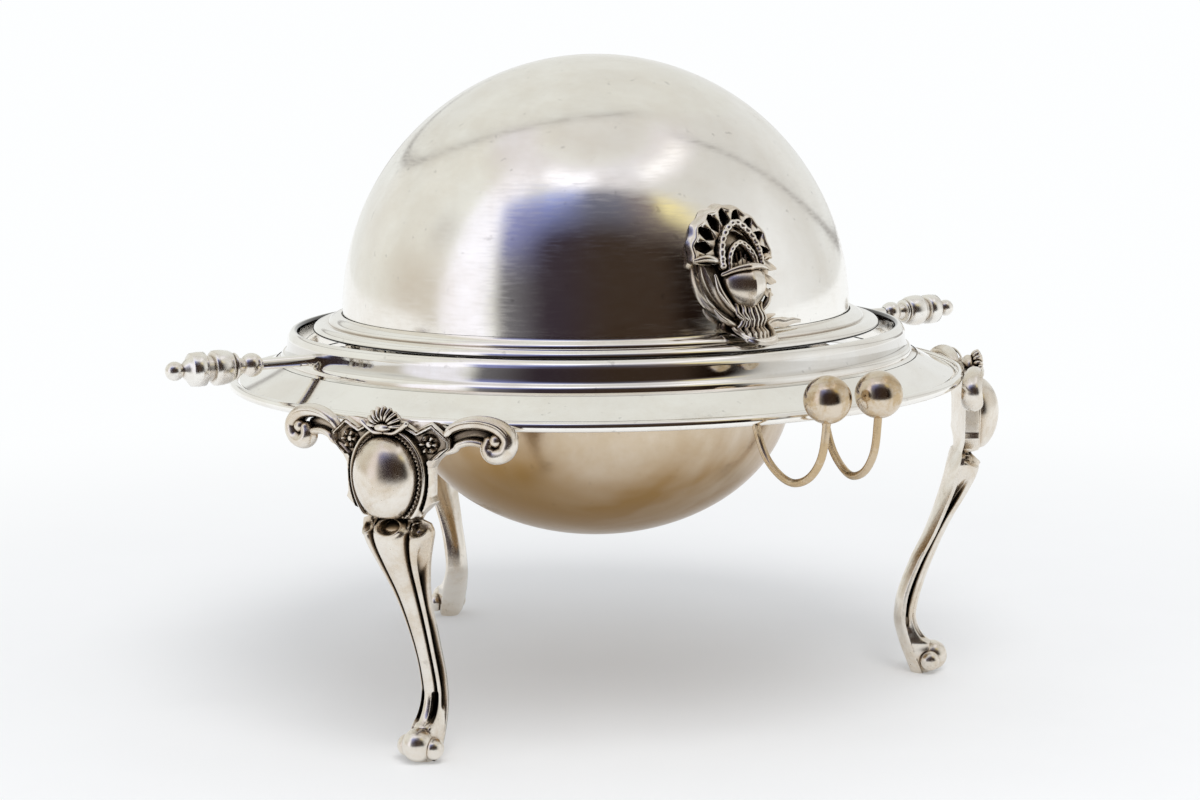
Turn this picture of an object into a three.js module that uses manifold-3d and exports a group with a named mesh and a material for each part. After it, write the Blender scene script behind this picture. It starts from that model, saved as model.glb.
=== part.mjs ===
// A plated revolving caviar dish. A domed lid turns on two side pivots and rolls under a smaller bowl.
// A sloping ring on three cast cabriole legs carries the pivots, the bowl and two knife rests.
// Millimetres, +Z up. X runs along the pivots and -Y is the front, where the lid's thumbpiece is.
// The origin is the middle of the dish's footprint on the table.
import * as THREE from 'three';
import { mergeVertices } from 'three/addons/utils/BufferGeometryUtils.js';
import Module from 'manifold-3d';

const wasm = await Module();
wasm.setup();

// Fits shared by all pieces
const solderGap = 0.3;
const runningGap = 0.3;
const shaftPlay = 0.1;

// Lid: a half sphere with a short straight skirt, and a reeded moulding round its foot
const lidRadius = 60;
const lidWall = 0.9;
const skirtDrop = 3.4;
const mouldingDrop = 3.7;
const mouldingReach = 7;

// The lid's centre stands this high above the table, and the pivots lie a little lower
const lidCentreHeight = 90;
const pivotDrop = 6.8;
const shaftRadius = 1.3;
const spacerWall = 1.1;

// Collar and sloping ring
const collarGap = 3.6;
const collarTopDrop = 3.3;
const collarHeight = 7.6;
const collarWall = 1.3;
const collarFootWidth = 5.2;
const ringTopDrop = 10.3;
const ringSlope = THREE.MathUtils.degToRad(26.5);
const ringWidth = 9.6;
const ringThickness = 1.1;
const edgeWireRadius = 1.15;

// Bowl, hung from the pivots inside the lid's sweep
const sweepClearance = 1.8;
const bowlWall = 1;
const brimWidth = 10.9;
const brimBelowPivot = 3.6;
const brimCurve = 2.5;
const bowlShoulderDepth = 9;
const bowlWellDepth = 34.2;

// Pierced drainer for melted ice, and a glass liner that hangs in the bowl by its rim
const drainerInset = 11.4;
const drainerThickness = 1.2;
const drainerSeatGap = 0.85;
const drainerHoleRadius = 1.7;
const linerWall = 2.2;
const iceGap = 5.4;
const linerWellDepth = 22;
const linerRimThickness = 1.8;
const linerLiftGap = 0.6;

// Side knobs, which start just outside the sloping ring
const knobOut = 1.6;
const knobLength = 22.6;
const knobRadius = 3.9;

// Legs
const legCount = 3;
const plateGap = 0.4;
const plateThickness = 2.8;
const ovalHalfWidth = 7.8;
const ovalHalfHeight = 9.4;
const ovalHeight = 63.9;
const ovalBulge = 5.8;
const scrollRadius = 1.45;
const crestRadius = 4;
const crestHeight = 74.4;

// Knife rests
const restWireRadius = 0.85;
const restBallRadius = 4.95;
const restBallOut = 14;
const restBallRise = 5.1;
const restBallSpread = 6.5;
const restRootOut = 2.8;
const restRootSpread = 9.1;
const restDipDepth = 13.4;

// How finely round work is cut
const roundSegments = 36;
const smallSegments = 12;
const glassSegments = 28;

// Sizes that follow from the ones above
const lidInner = lidRadius - lidWall;
const mouldingRadius = lidRadius + mouldingReach;
const collarInner = mouldingRadius + collarGap;
const collarFoot = collarInner + collarFootWidth;
const ringEdge = collarFoot + ringWidth * Math.cos(ringSlope);
const ringEdgeDrop = ringTopDrop + ringWidth * Math.sin(ringSlope);
const edgeWireReach = ringEdge + solderGap + edgeWireRadius;
const plateBack = edgeWireReach + edgeWireRadius + plateGap;
const plateFront = plateBack + plateThickness;
const brimRadius = lidInner - sweepClearance;
const brimTopDrop = pivotDrop + brimBelowPivot;
const bowlShoulderDrop = brimTopDrop + bowlShoulderDepth;
const bowlWellRadius = brimRadius - brimWidth;
const bowlInner = bowlWellRadius - bowlWall;
const passingReach = collarInner - 1;
const knobStart = ringEdge + knobOut;
const restBallReach = edgeWireReach + edgeWireRadius + restBallOut;
const restBallDrop = ringEdgeDrop - restBallRise;
const restRootReach = collarFoot + restRootOut;
const restDip = ringEdgeDrop + restDipDepth;

const silver = { color: 0xc9c4b8, metalness: 1, roughness: 0.25 };
const satinSilver = { color: 0xcfcabf, metalness: 1, roughness: 0.34 };
const wornSilver = { color: 0xb5a692, metalness: 1, roughness: 0.3 };
const castSilver = { color: 0xb9afa3, metalness: 1, roughness: 0.38 };
const glass = { color: 0xe8f0f0, metalness: 0, roughness: 0.05, transparent: true, opacity: 0.35 };

const vec2 = (x, y) => new THREE.Vector2(x, y);
const vec3 = (x, y, z) => new THREE.Vector3(x, y, z);

function piece(name, geometry, finish) {
  const mesh = new THREE.Mesh(geometry, new THREE.MeshStandardMaterial(finish));
  mesh.name = name;
  return mesh;
}

// A closed mesh as a solid for joining and cutting
function solidOf(geometry) {
  const bare = geometry.clone();
  bare.deleteAttribute('normal');
  bare.deleteAttribute('uv');
  const merged = mergeVertices(bare, 1e-4);
  return new wasm.Manifold(new wasm.Mesh({
    numProp: 3,
    vertProperties: new Float32Array(merged.attributes.position.array),
    triVerts: new Uint32Array(merged.index.array),
  }));
}

function geometryOf(solid) {
  const mesh = solid.getMesh();
  const geometry = new THREE.BufferGeometry();
  geometry.setAttribute('position', new THREE.BufferAttribute(mesh.vertProperties, 3));
  geometry.setIndex(new THREE.BufferAttribute(mesh.triVerts, 1));
  return geometry;
}

function joined(geometries) {
  const solids = geometries.map(solidOf);
  return geometryOf(solids.slice(1).reduce((sum, solid) => sum.add(solid), solids[0]));
}

function cut(geometry, cutters) {
  return geometryOf(cutters.reduce((rest, tool) => rest.subtract(solidOf(tool)), solidOf(geometry)));
}

// A turned piece round Z. Profile points are radius and height, and run round the section.
function turned(points, segments = roundSegments) {
  const outline = points.map(([radius, height]) => vec2(radius, height));
  const counterClockwise = THREE.ShapeUtils.area(outline) > 0;
  const profile = counterClockwise ? outline : outline.reverse();
  const onAxis = profile[0].x === 0 && profile[profile.length - 1].x === 0;
  const closed = onAxis ? profile : [...profile, profile[0].clone()];
  return new THREE.LatheGeometry(closed, segments).rotateX(Math.PI / 2);
}

// A turned piece round X, with its profile given as place along X and radius
function turnedAlongX(points, segments = smallSegments) {
  const profile = points.map(([along, radius]) => [radius, along]);
  return turned(profile, segments).rotateY(Math.PI / 2);
}

function rod(radius, from, to, segments = smallSegments) {
  return turnedAlongX([[from, 0], [from, radius], [to, radius], [to, 0]], segments);
}

// A plate across X from its outline, given as place along Y and height
function uprightPlate(outline, depth, curveSegments) {
  const plate = new THREE.ExtrudeGeometry(outline, { depth, bevelEnabled: false, curveSegments });
  return plate.rotateX(Math.PI / 2).rotateZ(Math.PI / 2);
}

// Points of an arc, centre (x, y), from one angle to another in degrees
function arc(x, y, radiusX, radiusY, fromDegrees, toDegrees, steps) {
  return Array.from({ length: steps + 1 }, (_, i) => {
    const angle = THREE.MathUtils.degToRad(fromDegrees + (toDegrees - fromDegrees) * i / steps);
    return [x + radiusX * Math.cos(angle), y + radiusY * Math.sin(angle)];
  });
}

// A smooth value through stations of place and value, flat beyond the ends
function along(stations, place) {
  const last = stations.length - 1;
  if (place <= stations[0][0]) return stations[0][1];
  if (place >= stations[last][0]) return stations[last][1];
  const i = stations.findIndex(([at]) => at > place) - 1;
  const slope = (k) => {
    const a = stations[Math.max(k - 1, 0)];
    const b = stations[Math.min(k + 1, last)];
    return (b[1] - a[1]) / (b[0] - a[0]);
  };
  const [x0, y0] = stations[i];
  const [x1, y1] = stations[i + 1];
  const t = (place - x0) / (x1 - x0);
  const width = x1 - x0;
  const blend = t * t * (3 - 2 * t);
  return y0 + (y1 - y0) * blend
    + slope(i) * width * t * (1 - t) ** 2
    - slope(i + 1) * width * t * t * (1 - t);
}

// A closed body lofted through rings of equal count, with its two ends fanned to their middles
function lofted(rings) {
  const count = rings[0].length;
  const points = rings.flat();
  const faces = [];
  for (let row = 0; row < rings.length - 1; row += 1) {
    for (let i = 0; i < count; i += 1) {
      const a = row * count + i;
      const b = row * count + (i + 1) % count;
      faces.push(a, b, b + count, a, b + count, a + count);
    }
  }
  const middle = (ring) => ring.reduce((sum, p) => sum.add(p), vec3(0, 0, 0)).divideScalar(count);
  points.push(middle(rings[0]), middle(rings[rings.length - 1]));
  const top = (rings.length - 1) * count;
  for (let i = 0; i < count; i += 1) {
    const next = (i + 1) % count;
    faces.push(points.length - 2, next, i, points.length - 1, top + i, top + next);
  }
  const geometry = new THREE.BufferGeometry().setFromPoints(points);
  geometry.setIndex(faces);
  return geometry;
}

// A round wire along a smooth path
function wire(path, radius, steps, sides) {
  const section = new THREE.Shape(
    Array.from({ length: sides }, (_, i) => {
      const angle = 2 * Math.PI * i / sides;
      return vec2(radius * Math.cos(angle), radius * Math.sin(angle));
    }),
  );
  return new THREE.ExtrudeGeometry(section, { steps, extrudePath: path, bevelEnabled: false });
}

function ball(radius, centre, across = 12, down = 8) {
  return new THREE.SphereGeometry(radius, across, down).rotateX(Math.PI / 2).translate(...centre);
}

// Lid

function lidShell() {
  const outer = arc(0, 0, lidRadius, lidRadius, 0, 90, 8);
  const inner = arc(0, 0, lidInner, lidInner, 90, 0, 7);
  outer[outer.length - 1][0] = 0;
  inner[0][0] = 0;
  return turned([...inner, [lidInner, -skirtDrop], [lidRadius, -skirtDrop], ...outer]);
}

// The foot moulding: a small upper reed, a groove and a broad lower reed
function lidMoulding() {
  const back = lidRadius + solderGap;
  return turned([
    [back, -mouldingDrop],
    ...arc(mouldingRadius - 1.6, -mouldingDrop + 1.25, 1.6, 1.25, -75, 88, 5),
    [lidRadius + 3.6, -1.3],
    ...arc(lidRadius + 2.1, -0.8, 1.3, 0.8, 0, 90, 2),
    [back, 0],
  ]);
}

// A lug under the moulding that the pivot shaft runs through
const lugInner = lidRadius + 0.8;
const lugThickness = 3.2;
const lugHalfWidth = 3.8;

function lidLug(side) {
  const outline = new THREE.Shape();
  outline.moveTo(-lugHalfWidth, pivotDrop - mouldingDrop - solderGap);
  outline.lineTo(-lugHalfWidth, 0);
  outline.absarc(0, 0, lugHalfWidth, Math.PI, 2 * Math.PI, false);
  outline.lineTo(lugHalfWidth, pivotDrop - mouldingDrop - solderGap);
  const bore = new THREE.Path();
  bore.absarc(0, 0, shaftRadius + shaftPlay, 0, 2 * Math.PI, true);
  outline.holes.push(bore);
  const plate = uprightPlate(outline, lugThickness, 8);
  return plate.translate(side > 0 ? lugInner : -lugInner - lugThickness, 0, -pivotDrop);
}

// Thumbpiece: a fan shell, two nested arches, a smooth bud and tapering strands, as one casting.
// Across is measured round the lid and up from its centre plane. It stays inside the collar's
// opening, so that it can roll through at the back.
const thumbFanRadius = 10.8;
const thumbFanHeight = 16.8;
const thumbFlutes = 9;

const thumbHalfWidth = [
  [-1.1, 1.6], [0.2, 4.2], [1.6, 4.4], [3.4, 3.2], [6, 4.6], [8, 6.8], [13.6, 10.2],
];

// The thumbpiece's back clears the lid, and steps out over the moulding at its foot.
// Its steps are heights and distances out from the lid, drawn for the usual reach of the moulding.
const thumbBackFoot = [[-1.1, 6.1], [-0.8, 5.2], [-0.4, 4.2], [0.1, 3.3], [0.5, 1.9], [1.1, 0.3]];

function thumbBack(up) {
  const overLid = Math.sqrt(lidRadius ** 2 - Math.max(up, 0) ** 2) + solderGap;
  return up < 1.1 ? lidRadius + along(thumbBackFoot, up) : overLid;
}

function ridge(value, width) {
  return Math.exp(-((value / width) ** 2));
}

function thumbRelief(across, up) {
  const fanAngle = Math.atan2(across, up - thumbFanHeight + 6);
  const fanReach = Math.hypot(across, up - thumbFanHeight) / thumbFanRadius;
  const fan = 1.9 + 0.8 * Math.cos(fanAngle * thumbFlutes * 1.6) * Math.min(fanReach, 1);
  const archReach = Math.hypot(across / 6.3, (up - 13.5) / 9.3);
  const innerReach = Math.hypot(across / 4.5, (up - 13.5) / 5.2);
  const arches = up > 12 ? 2.4 * ridge(archReach - 0.95, 0.14) + 3 * ridge(innerReach - 0.9, 0.2) : 0;
  const bud = 5.6 * Math.sqrt(Math.max(0, 1 - (across / 5.4) ** 2 - ((up - 9.6) / 4.4) ** 2));
  const strands = (up < 7 ? 1 : 0) * (4.3 + 0.5 * Math.cos(across * 2.6)) * ridge(across, 3.4);
  const room = Math.sqrt(passingReach ** 2 - (up + pivotDrop) ** 2) - thumbBack(up);
  return Math.min(Math.max(fan + arches, 1.9 + bud, 1.5 + strands), room);
}

function thumbpiece() {
  const levels = [-1.1, -0.6, 0.3, 1.4, 3.2, 4.8, 6.4, 8, 9.6, 11.2, 12.8, 13.6];
  const fanLevels = arc(thumbFanHeight, 0, thumbFanRadius, 0, 106, 6, 11).map(([up]) => up);
  const rows = [...levels, ...fanLevels.filter((up) => up > 14.2)];
  const columns = [-1, -0.82, -0.62, -0.4, -0.2, 0, 0.2, 0.4, 0.62, 0.82, 1];
  const halfWidth = (up) => {
    const fan = Math.sqrt(Math.max(0, thumbFanRadius ** 2 - (up - thumbFanHeight) ** 2));
    return up > 13.6 ? fan : along(thumbHalfWidth, up);
  };
  const at = (across, up, outward) => {
    const angle = -Math.PI / 2 + across / lidRadius;
    const radius = thumbBack(up) + outward;
    return vec3(radius * Math.cos(angle), radius * Math.sin(angle), up);
  };
  const rings = rows.map((up) => {
    const half = halfWidth(up);
    const front = columns.map((s) => at(s * half, up, thumbRelief(s * half, up)));
    const back = [1, 0.33, -0.33, -1].map((s) => at(s * half, up, 0));
    return [...front, ...back];
  });
  return lofted(rings);
}

// Ring and collar

function collarProfile() {
  const top = -collarTopDrop;
  const bottom = top - collarHeight;
  return [
    [collarInner, bottom],
    [collarInner, top - 0.9],
    ...arc(collarInner + 1.1, top - 1, 1.1, 1, 165, -50, 5),
    [collarInner + collarWall, top - 3.2],
    [collarInner + collarWall + 0.2, top - 4.6],
    ...arc(collarInner + 2.9, top - 5.5, 0.8, 0.6, 110, -40, 3),
    [collarFoot, top - 6.9],
    [collarFoot, bottom],
  ];
}

function collar() {
  const bores = rod(shaftRadius + shaftPlay, -collarFoot - 5, collarFoot + 5).translate(0, 0, -pivotDrop);
  return cut(turned(collarProfile()), [bores]);
}

// How far the slope's underside lies below the lid's centre at a distance from the axis
function ringUnderside(reach) {
  return ringTopDrop + (reach - collarFoot) * Math.tan(ringSlope) + ringThickness / Math.cos(ringSlope);
}

function slopingRing() {
  const ledgeInset = 0.2;
  const seat = collarTopDrop + collarHeight + solderGap;
  const ledgeUnderside = seat + ringThickness;
  const ledgeEnd = collarFoot + (ledgeUnderside - ringUnderside(collarFoot)) / Math.tan(ringSlope);
  const inner = collarFoot + solderGap;
  return turned([
    [collarInner + ledgeInset, -ledgeUnderside],
    [ledgeEnd, -ledgeUnderside],
    [ringEdge, -ringUnderside(ringEdge)],
    [ringEdge, -ringEdgeDrop],
    [inner, -ringTopDrop],
    [inner, -seat],
    [collarInner + ledgeInset, -seat],
  ]);
}

function edgeWire() {
  const drop = ringEdgeDrop + ringThickness / 2;
  return turned(arc(edgeWireReach, -drop, edgeWireRadius, edgeWireRadius, 0, 300, 5));
}

const stopWidth = 7;
const stopOverlap = 1.6;
const facetPlay = 0.3;
const collarFace = collarInner - solderGap - facetPlay;

// A block inside the collar at the front. The lid's moulding rests on it when shut,
// and meets it from below when it has rolled right round.
function lidStop() {
  const height = 2 * (pivotDrop - mouldingDrop - solderGap);
  const inner = mouldingRadius - stopOverlap;
  const outer = collarFace;
  const block = new THREE.BoxGeometry(stopWidth, outer - inner, height);
  return block.translate(0, -(inner + outer) / 2, -pivotDrop);
}

// Pivots

const lugOuter = lugInner + lugThickness;
const earThickness = 2;
const earHalfWidth = 3.4;
const shaftEndOut = 1.4;
const earOuter = brimRadius - solderGap;
const earInner = earOuter - earThickness;
const nutThickness = 1.8;
const nutRadius = 2.7;
const shaftInner = earInner - nutThickness - shaftEndOut;
const shaftSocketDepth = 4;

function pivotShaft(side) {
  const from = shaftInner;
  const to = knobStart + shaftSocketDepth - solderGap;
  const chamfer = 0.3;
  const shaft = turnedAlongX([
    [from, 0], [from, shaftRadius - chamfer], [from + chamfer, shaftRadius],
    [to, shaftRadius], [to, 0],
  ]);
  return shaft.rotateZ(side > 0 ? 0 : Math.PI).translate(0, 0, -pivotDrop);
}

function pivotNut(side) {
  const bore = rod(shaftRadius + shaftPlay, shaftInner - 3, earInner + 3);
  const outside = new THREE.CylinderGeometry(nutRadius, nutRadius, nutThickness, 6).rotateZ(Math.PI / 2);
  outside.translate(earInner - solderGap - nutThickness / 2, 0, 0);
  const nut = cut(outside, [bore]);
  return nut.rotateZ(side > 0 ? 0 : Math.PI).translate(0, 0, -pivotDrop);
}

// A turned sleeve on the shaft that keeps the lid's lug from the next piece
function pivotSpacer(side, from, to) {
  const inner = shaftRadius + shaftPlay;
  const outer = inner + spacerWall;
  const sleeve = turnedAlongX([[from, inner], [from, outer], [to, outer], [to, inner]]);
  return sleeve.rotateZ(side > 0 ? 0 : Math.PI).translate(0, 0, -pivotDrop);
}

// Knob: an inner bead, a barrel, a groove, a broad ring, a cone and a ball at the tip
function knob(side) {
  const tip = knobStart + knobLength;
  const bore = shaftRadius + shaftPlay;
  const floor = knobStart + shaftSocketDepth;
  const tipBall = 2.1;
  const profile = [
    [floor, 0], [floor, bore], [knobStart, bore],
    ...arc(knobStart + 2.6, 0, 2.6, 2.65, 145, 38, 4),
    [knobStart + 5.5, 1.9],
    [knobStart + 6.2, 2.9],
    [knobStart + 7.6, knobRadius - 0.3],
    [knobStart + 9.6, knobRadius],
    [knobStart + 11.8, knobRadius],
    [knobStart + 12.1, 2.8],
    [knobStart + 13.4, 2.8],
    [knobStart + 13.6, knobRadius - 0.2],
    [knobStart + 17, knobRadius - 0.25],
    [knobStart + 17.3, 2.9],
    [tip - 2 * tipBall + 0.5, 1.3],
    ...arc(tip - tipBall, 0, tipBall, tipBall, 130, 0, 3),
  ];
  profile[profile.length - 1][1] = 0;
  const turning = turnedAlongX(profile);
  return turning.rotateZ(side > 0 ? 0 : Math.PI).translate(0, 0, -pivotDrop);
}

// Bowl

function bowlBody() {
  const shoulder = -bowlShoulderDrop;
  const brimTop = -brimTopDrop;
  const inner = arc(0, shoulder, bowlInner, bowlWellDepth - bowlWall, -90, 0, 6);
  const outer = arc(0, shoulder, bowlWellRadius, bowlWellDepth, 0, -90, 7);
  inner[0][0] = 0;
  outer[outer.length - 1][0] = 0;
  return turned([
    ...inner,
    [bowlInner, brimTop - 3],
    [bowlInner + 0.9, brimTop - 1.1],
    [bowlWellRadius + brimCurve, brimTop],
    [brimRadius, brimTop],
    [brimRadius, brimTop - bowlWall],
    [bowlWellRadius + brimCurve, brimTop - bowlWall],
    [bowlWellRadius + 0.7, brimTop - 2.6],
    ...outer,
  ]);
}

// An ear that stands on the brim and takes the pivot shaft
function bowlEar(side) {
  const half = earHalfWidth;
  const foot = brimTopDrop - pivotDrop - solderGap;
  const outline = new THREE.Shape();
  outline.moveTo(-half, -foot);
  outline.lineTo(half, -foot);
  outline.lineTo(half, 0);
  outline.absarc(0, 0, half, 0, Math.PI, false);
  const bore = new THREE.Path();
  bore.absarc(0, 0, shaftRadius + shaftPlay, 0, 2 * Math.PI, true);
  outline.holes.push(bore);
  const plate = uprightPlate(outline, earThickness, 8);
  return plate.translate(side > 0 ? earInner : -earOuter, 0, -pivotDrop);
}

// The drainer rests on the bowl's curve, so its height follows from where the curve is that wide
const drainerRadius = bowlInner - drainerInset;
const drainerRest = (() => {
  const reach = (drainerRadius + drainerSeatGap) / bowlInner;
  return -bowlShoulderDrop - (bowlWellDepth - bowlWall) * Math.sqrt(1 - reach ** 2);
})();

function drainer() {
  const edge = Array.from({ length: roundSegments }, (_, i) => {
    const angle = 2 * Math.PI * i / roundSegments;
    return vec2(drainerRadius * Math.cos(angle), drainerRadius * Math.sin(angle));
  });
  const outline = new THREE.Shape(edge);
  const rings = [{ count: 6, share: 0.3 }, { count: 12, share: 0.6 }];
  rings.forEach(({ count, share }) => {
    const reach = drainerRadius * share;
    for (let i = 0; i < count; i += 1) {
      const angle = 2 * Math.PI * i / count;
      const hole = new THREE.Path();
      hole.absarc(reach * Math.cos(angle), reach * Math.sin(angle), drainerHoleRadius, 0, 2 * Math.PI, true);
      outline.holes.push(hole);
    }
  });
  const shape = { depth: drainerThickness, bevelEnabled: false, curveSegments: 4 };
  return new THREE.ExtrudeGeometry(outline, shape).translate(0, 0, drainerRest);
}

// The liner hangs on the brim. Its rim stays inside the pivot shafts' ends, so that it lifts out.
const linerWellRadius = bowlInner - iceGap;
const linerRimRadius = shaftInner - linerLiftGap;

function liner() {
  const rimUnder = -brimTopDrop + solderGap;
  const rimTop = rimUnder + linerRimThickness;
  const inside = arc(0, rimUnder, linerWellRadius - linerWall, linerWellDepth - linerWall, 0, -90, 5);
  const outside = arc(0, rimUnder - 0.8, linerWellRadius, linerWellDepth - 0.8, -90, 0, 5);
  inside[inside.length - 1][0] = 0;
  outside[0][0] = 0;
  return turned([
    ...outside,
    [linerWellRadius + 0.8, rimUnder],
    [linerRimRadius - 0.2, rimUnder],
    [linerRimRadius, rimUnder + linerRimThickness / 2],
    [linerRimRadius - 0.6, rimTop],
    [linerWellRadius - linerWall + 0.9, rimTop],
    ...inside,
  ], glassSegments);
}

// Legs. A leg is lofted from the table upwards. Its section has a middle lobe and two side lobes,
// and widens into a cartouche that curves with the ring. Lines give a height above the table, drawn
// for a ring edge of legDrawnHeight, and a distance out from the cartouche's back.
const legDrawnHeight = 75.4;
const legStretch = (lidCentreHeight - ringEdgeDrop) / legDrawnHeight;

const legFrontLine = [
  [0, -5.2], [2.2, -3.7], [4.6, -3.2], [7.2, -5.8], [10.5, -9.1], [14, -10.3], [18, -9.7], [24, -7.9],
  [32, -4.7], [38, -1.8], [45, 2.2], [49.4, 4.2], [52.2, 4.3], [54.4, 2.3], [56, plateThickness],
  [80, plateThickness],
];
const legBackLine = [
  [0, -9.8], [3, -11], [7, -12.5], [12, -13.9], [15, -14], [20, -13.2], [28, -10.2], [35, -6.8],
  [45, -3], [52, -1], [58, 0], [80, 0],
];
const legHalfWidth = [
  [0, 3.4], [1.5, 4.4], [4.6, 5], [8, 4.6], [12, 3.8], [16, 3.6], [23, 3.5], [31, 4.1], [38, 5],
  [45, 6.6], [50, 7.9], [53.2, 8],
];
// Corners of the cartouche's edge, joined by straight runs
const plateHalfWidth = [
  [53.2, 8], [54.2, 6], [55.6, 6.8], [59.6, 10.7], [62.9, 10.1], [66.8, 10.9], [70.5, 14.4], [80, 14.4],
];
// The cartouche's top edge: a valley beside the crest, a peak and an outer corner
const plateTop = [[0, 76.4], [0.3, 76], [0.42, 75.2], [0.74, 76.4], [1, 72.9]];
const plateTopStart = 70.5;

function straightAlong(stations, place) {
  const next = Math.max(1, stations.findIndex(([at]) => at >= place));
  const [x0, y0] = stations[next - 1];
  const [x1, y1] = stations[next];
  return y0 + (y1 - y0) * THREE.MathUtils.clamp((place - x0) / (x1 - x0), 0, 1);
}

function legSection(height, share) {
  const halfWidth = height > 53.2 ? straightAlong(plateHalfWidth, height) : along(legHalfWidth, height);
  const across = share * halfWidth;
  const side = Math.max(0, Math.abs(share) - 0.5) / 0.5;
  const groove = ridge(Math.abs(share) - 0.5, 0.08);
  const shank = -1 * groove - 3.1 * side ** 1.3 - 0.4 * (share / 0.5) ** 2 * (side > 0 ? 0 : 1);
  const ovalReach = (across / ovalHalfWidth) ** 2 + ((height - ovalHeight) / ovalHalfHeight) ** 2;
  const oval = ovalReach < 1 ? ovalBulge * (1 - ovalReach) ** 0.6 : 0;
  const bead = 0.9 * ridge(Math.sqrt(ovalReach) - 1.1, 0.07);
  const border = Math.abs(share) > 0.9 ? 0.7 : 0;
  const cartouche = oval + bead + border;
  const mix = THREE.MathUtils.smoothstep(height, 52.8, 55);
  return { across, relief: shank * (1 - mix) + cartouche * mix };
}

function onRing(across, out, height) {
  const angle = across / plateBack;
  const radius = plateBack + out;
  return vec3(radius * Math.cos(angle), radius * Math.sin(angle), height * legStretch - lidCentreHeight);
}

function legBody() {
  const levels = [
    0, 1.8, 4.6, 7.2, 10.5, 14, 20, 28, 36,
    44, 49, 52.2, 53.6, 54.4, 56.4, 59.6, 63, 66.8, plateTopStart,
  ];
  const topShares = [0.5, 1];
  const columns = [-1, -0.78, -0.58, -0.5, -0.42, 0, 0.42, 0.5, 0.58, 0.78, 1];
  const backColumns = [1, 0, -1];
  const ring = (level, lift) => {
    const at = (share, isBack) => {
      const top = straightAlong(plateTop, Math.abs(share));
      const height = level + lift * (top - level);
      const { across, relief } = legSection(height, share);
      const front = along(legFrontLine, height) + relief;
      const back = along(legBackLine, height);
      return onRing(across, isBack ? back : Math.max(front, back + 0.8), height);
    };
    return [...columns.map((s) => at(s, false)), ...backColumns.map((s) => at(s, true))];
  };
  const rings = levels.map((level) => ring(level, 0));
  topShares.forEach((share) => rings.push(ring(plateTopStart, share)));
  return lofted(rings);
}

// A curled arm beside the cartouche: a thick strand that rolls into a scroll, and a thin one under it
function legArm(side) {
  const out = scrollRadius + 0.1;
  const path = (points) => new THREE.CatmullRomCurve3(
    points.map(([across, height]) => onRing(side * across, out, height)),
  );
  const scroll = path([
    [11.5, 72.4], [15.5, 75.2], [20, 76.2], [24.2, 75.8],
    [26.9, 73.2], [26.2, 70.2], [23.4, 69.3], [21.6, 71],
  ]);
  const strand = path([[12.6, 69.8], [17, 71.4], [21.6, 71.8]]);
  const tip = onRing(side * 23.2, out + 0.5, 72);
  return [
    wire(scroll, scrollRadius, 11, 5),
    wire(strand, scrollRadius * 0.6, 3, 4),
    ball(scrollRadius * 1.4, [tip.x, tip.y, tip.z], 7, 5),
  ];
}

// Scalloped fan on top of the cartouche
function legCrest() {
  const lobes = 7;
  const steps = 2 * lobes;
  const outline = new THREE.Shape();
  outline.moveTo(-crestRadius * 0.7, -1);
  for (let i = 0; i <= steps; i += 1) {
    const angle = Math.PI * (1.06 - 1.12 * i / steps);
    const radius = crestRadius * (1 + 0.07 * Math.cos(angle * lobes * 2));
    outline.lineTo(radius * Math.cos(angle), radius * Math.sin(angle));
  }
  outline.lineTo(crestRadius * 0.7, -1);
  const foot = crestHeight * legStretch - lidCentreHeight;
  return uprightPlate(outline, plateThickness + 1.2, 1).translate(plateBack + 0.2, 0, foot);
}

function legToes() {
  const toe = (across, out, height, radius) => {
    const centre = onRing(across, out, height);
    return ball(radius, [centre.x, centre.y, centre.z], 8, 4);
  };
  return [toe(0, -5.5, 4.6, 2.4), toe(4.3, -7, 3.4, 1.8), toe(-4.3, -7, 3.4, 1.8)];
}

function leg() {
  return joined([legBody(), ...legArm(1), ...legArm(-1), legCrest(), ...legToes()]);
}

// Knife rests: a bent wire under the ring's front that rises outside it into a ball

function restPath(side) {
  const at = (reach, spread, drop) => vec3(side * spread, -reach, -drop);
  const outside = Math.hypot(restRootReach + restWireRadius, restRootSpread);
  const rootDrop = ringUnderside(outside) + solderGap + restWireRadius / 2;
  const spread = (share) => restRootSpread + (restBallSpread - restRootSpread) * share;
  const stem = restBallDrop + restBallRadius - 1.2;
  return new THREE.CatmullRomCurve3([
    at(restRootReach, spread(0), rootDrop),
    at(restRootReach + 1, spread(0.08), rootDrop + 4),
    at(restRootReach + 4, spread(0.2), restDip - 4.2),
    at(restRootReach + 8.4, spread(0.4), restDip - 0.9),
    at(restRootReach + 12.6, spread(0.6), restDip),
    at(restBallReach - 5, spread(0.78), restDip - 2),
    at(restBallReach - 1.6, spread(0.92), restDip - 6.6),
    at(restBallReach, spread(1), stem),
  ]);
}

function restWire(side) {
  return wire(restPath(side), restWireRadius, 18, 7);
}

// The ball has a socket for the wire's end, cut along the wire's last direction
function restBall(side) {
  const path = restPath(side);
  const end = path.getPoint(1);
  const direction = path.getTangent(1);
  const centre = vec3(side * restBallSpread, -restBallReach, -restBallDrop);
  const socketRadius = restWireRadius + solderGap;
  const socket = new THREE.CylinderGeometry(socketRadius, socketRadius, 6, 8);
  socket.applyQuaternion(new THREE.Quaternion().setFromUnitVectors(vec3(0, 1, 0), direction));
  const depth = end.clone().addScaledVector(direction, solderGap - 3);
  socket.translate(depth.x, depth.y, depth.z);
  return cut(ball(restBallRadius, [centre.x, centre.y, centre.z], 12, 9), [socket]);
}

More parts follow.
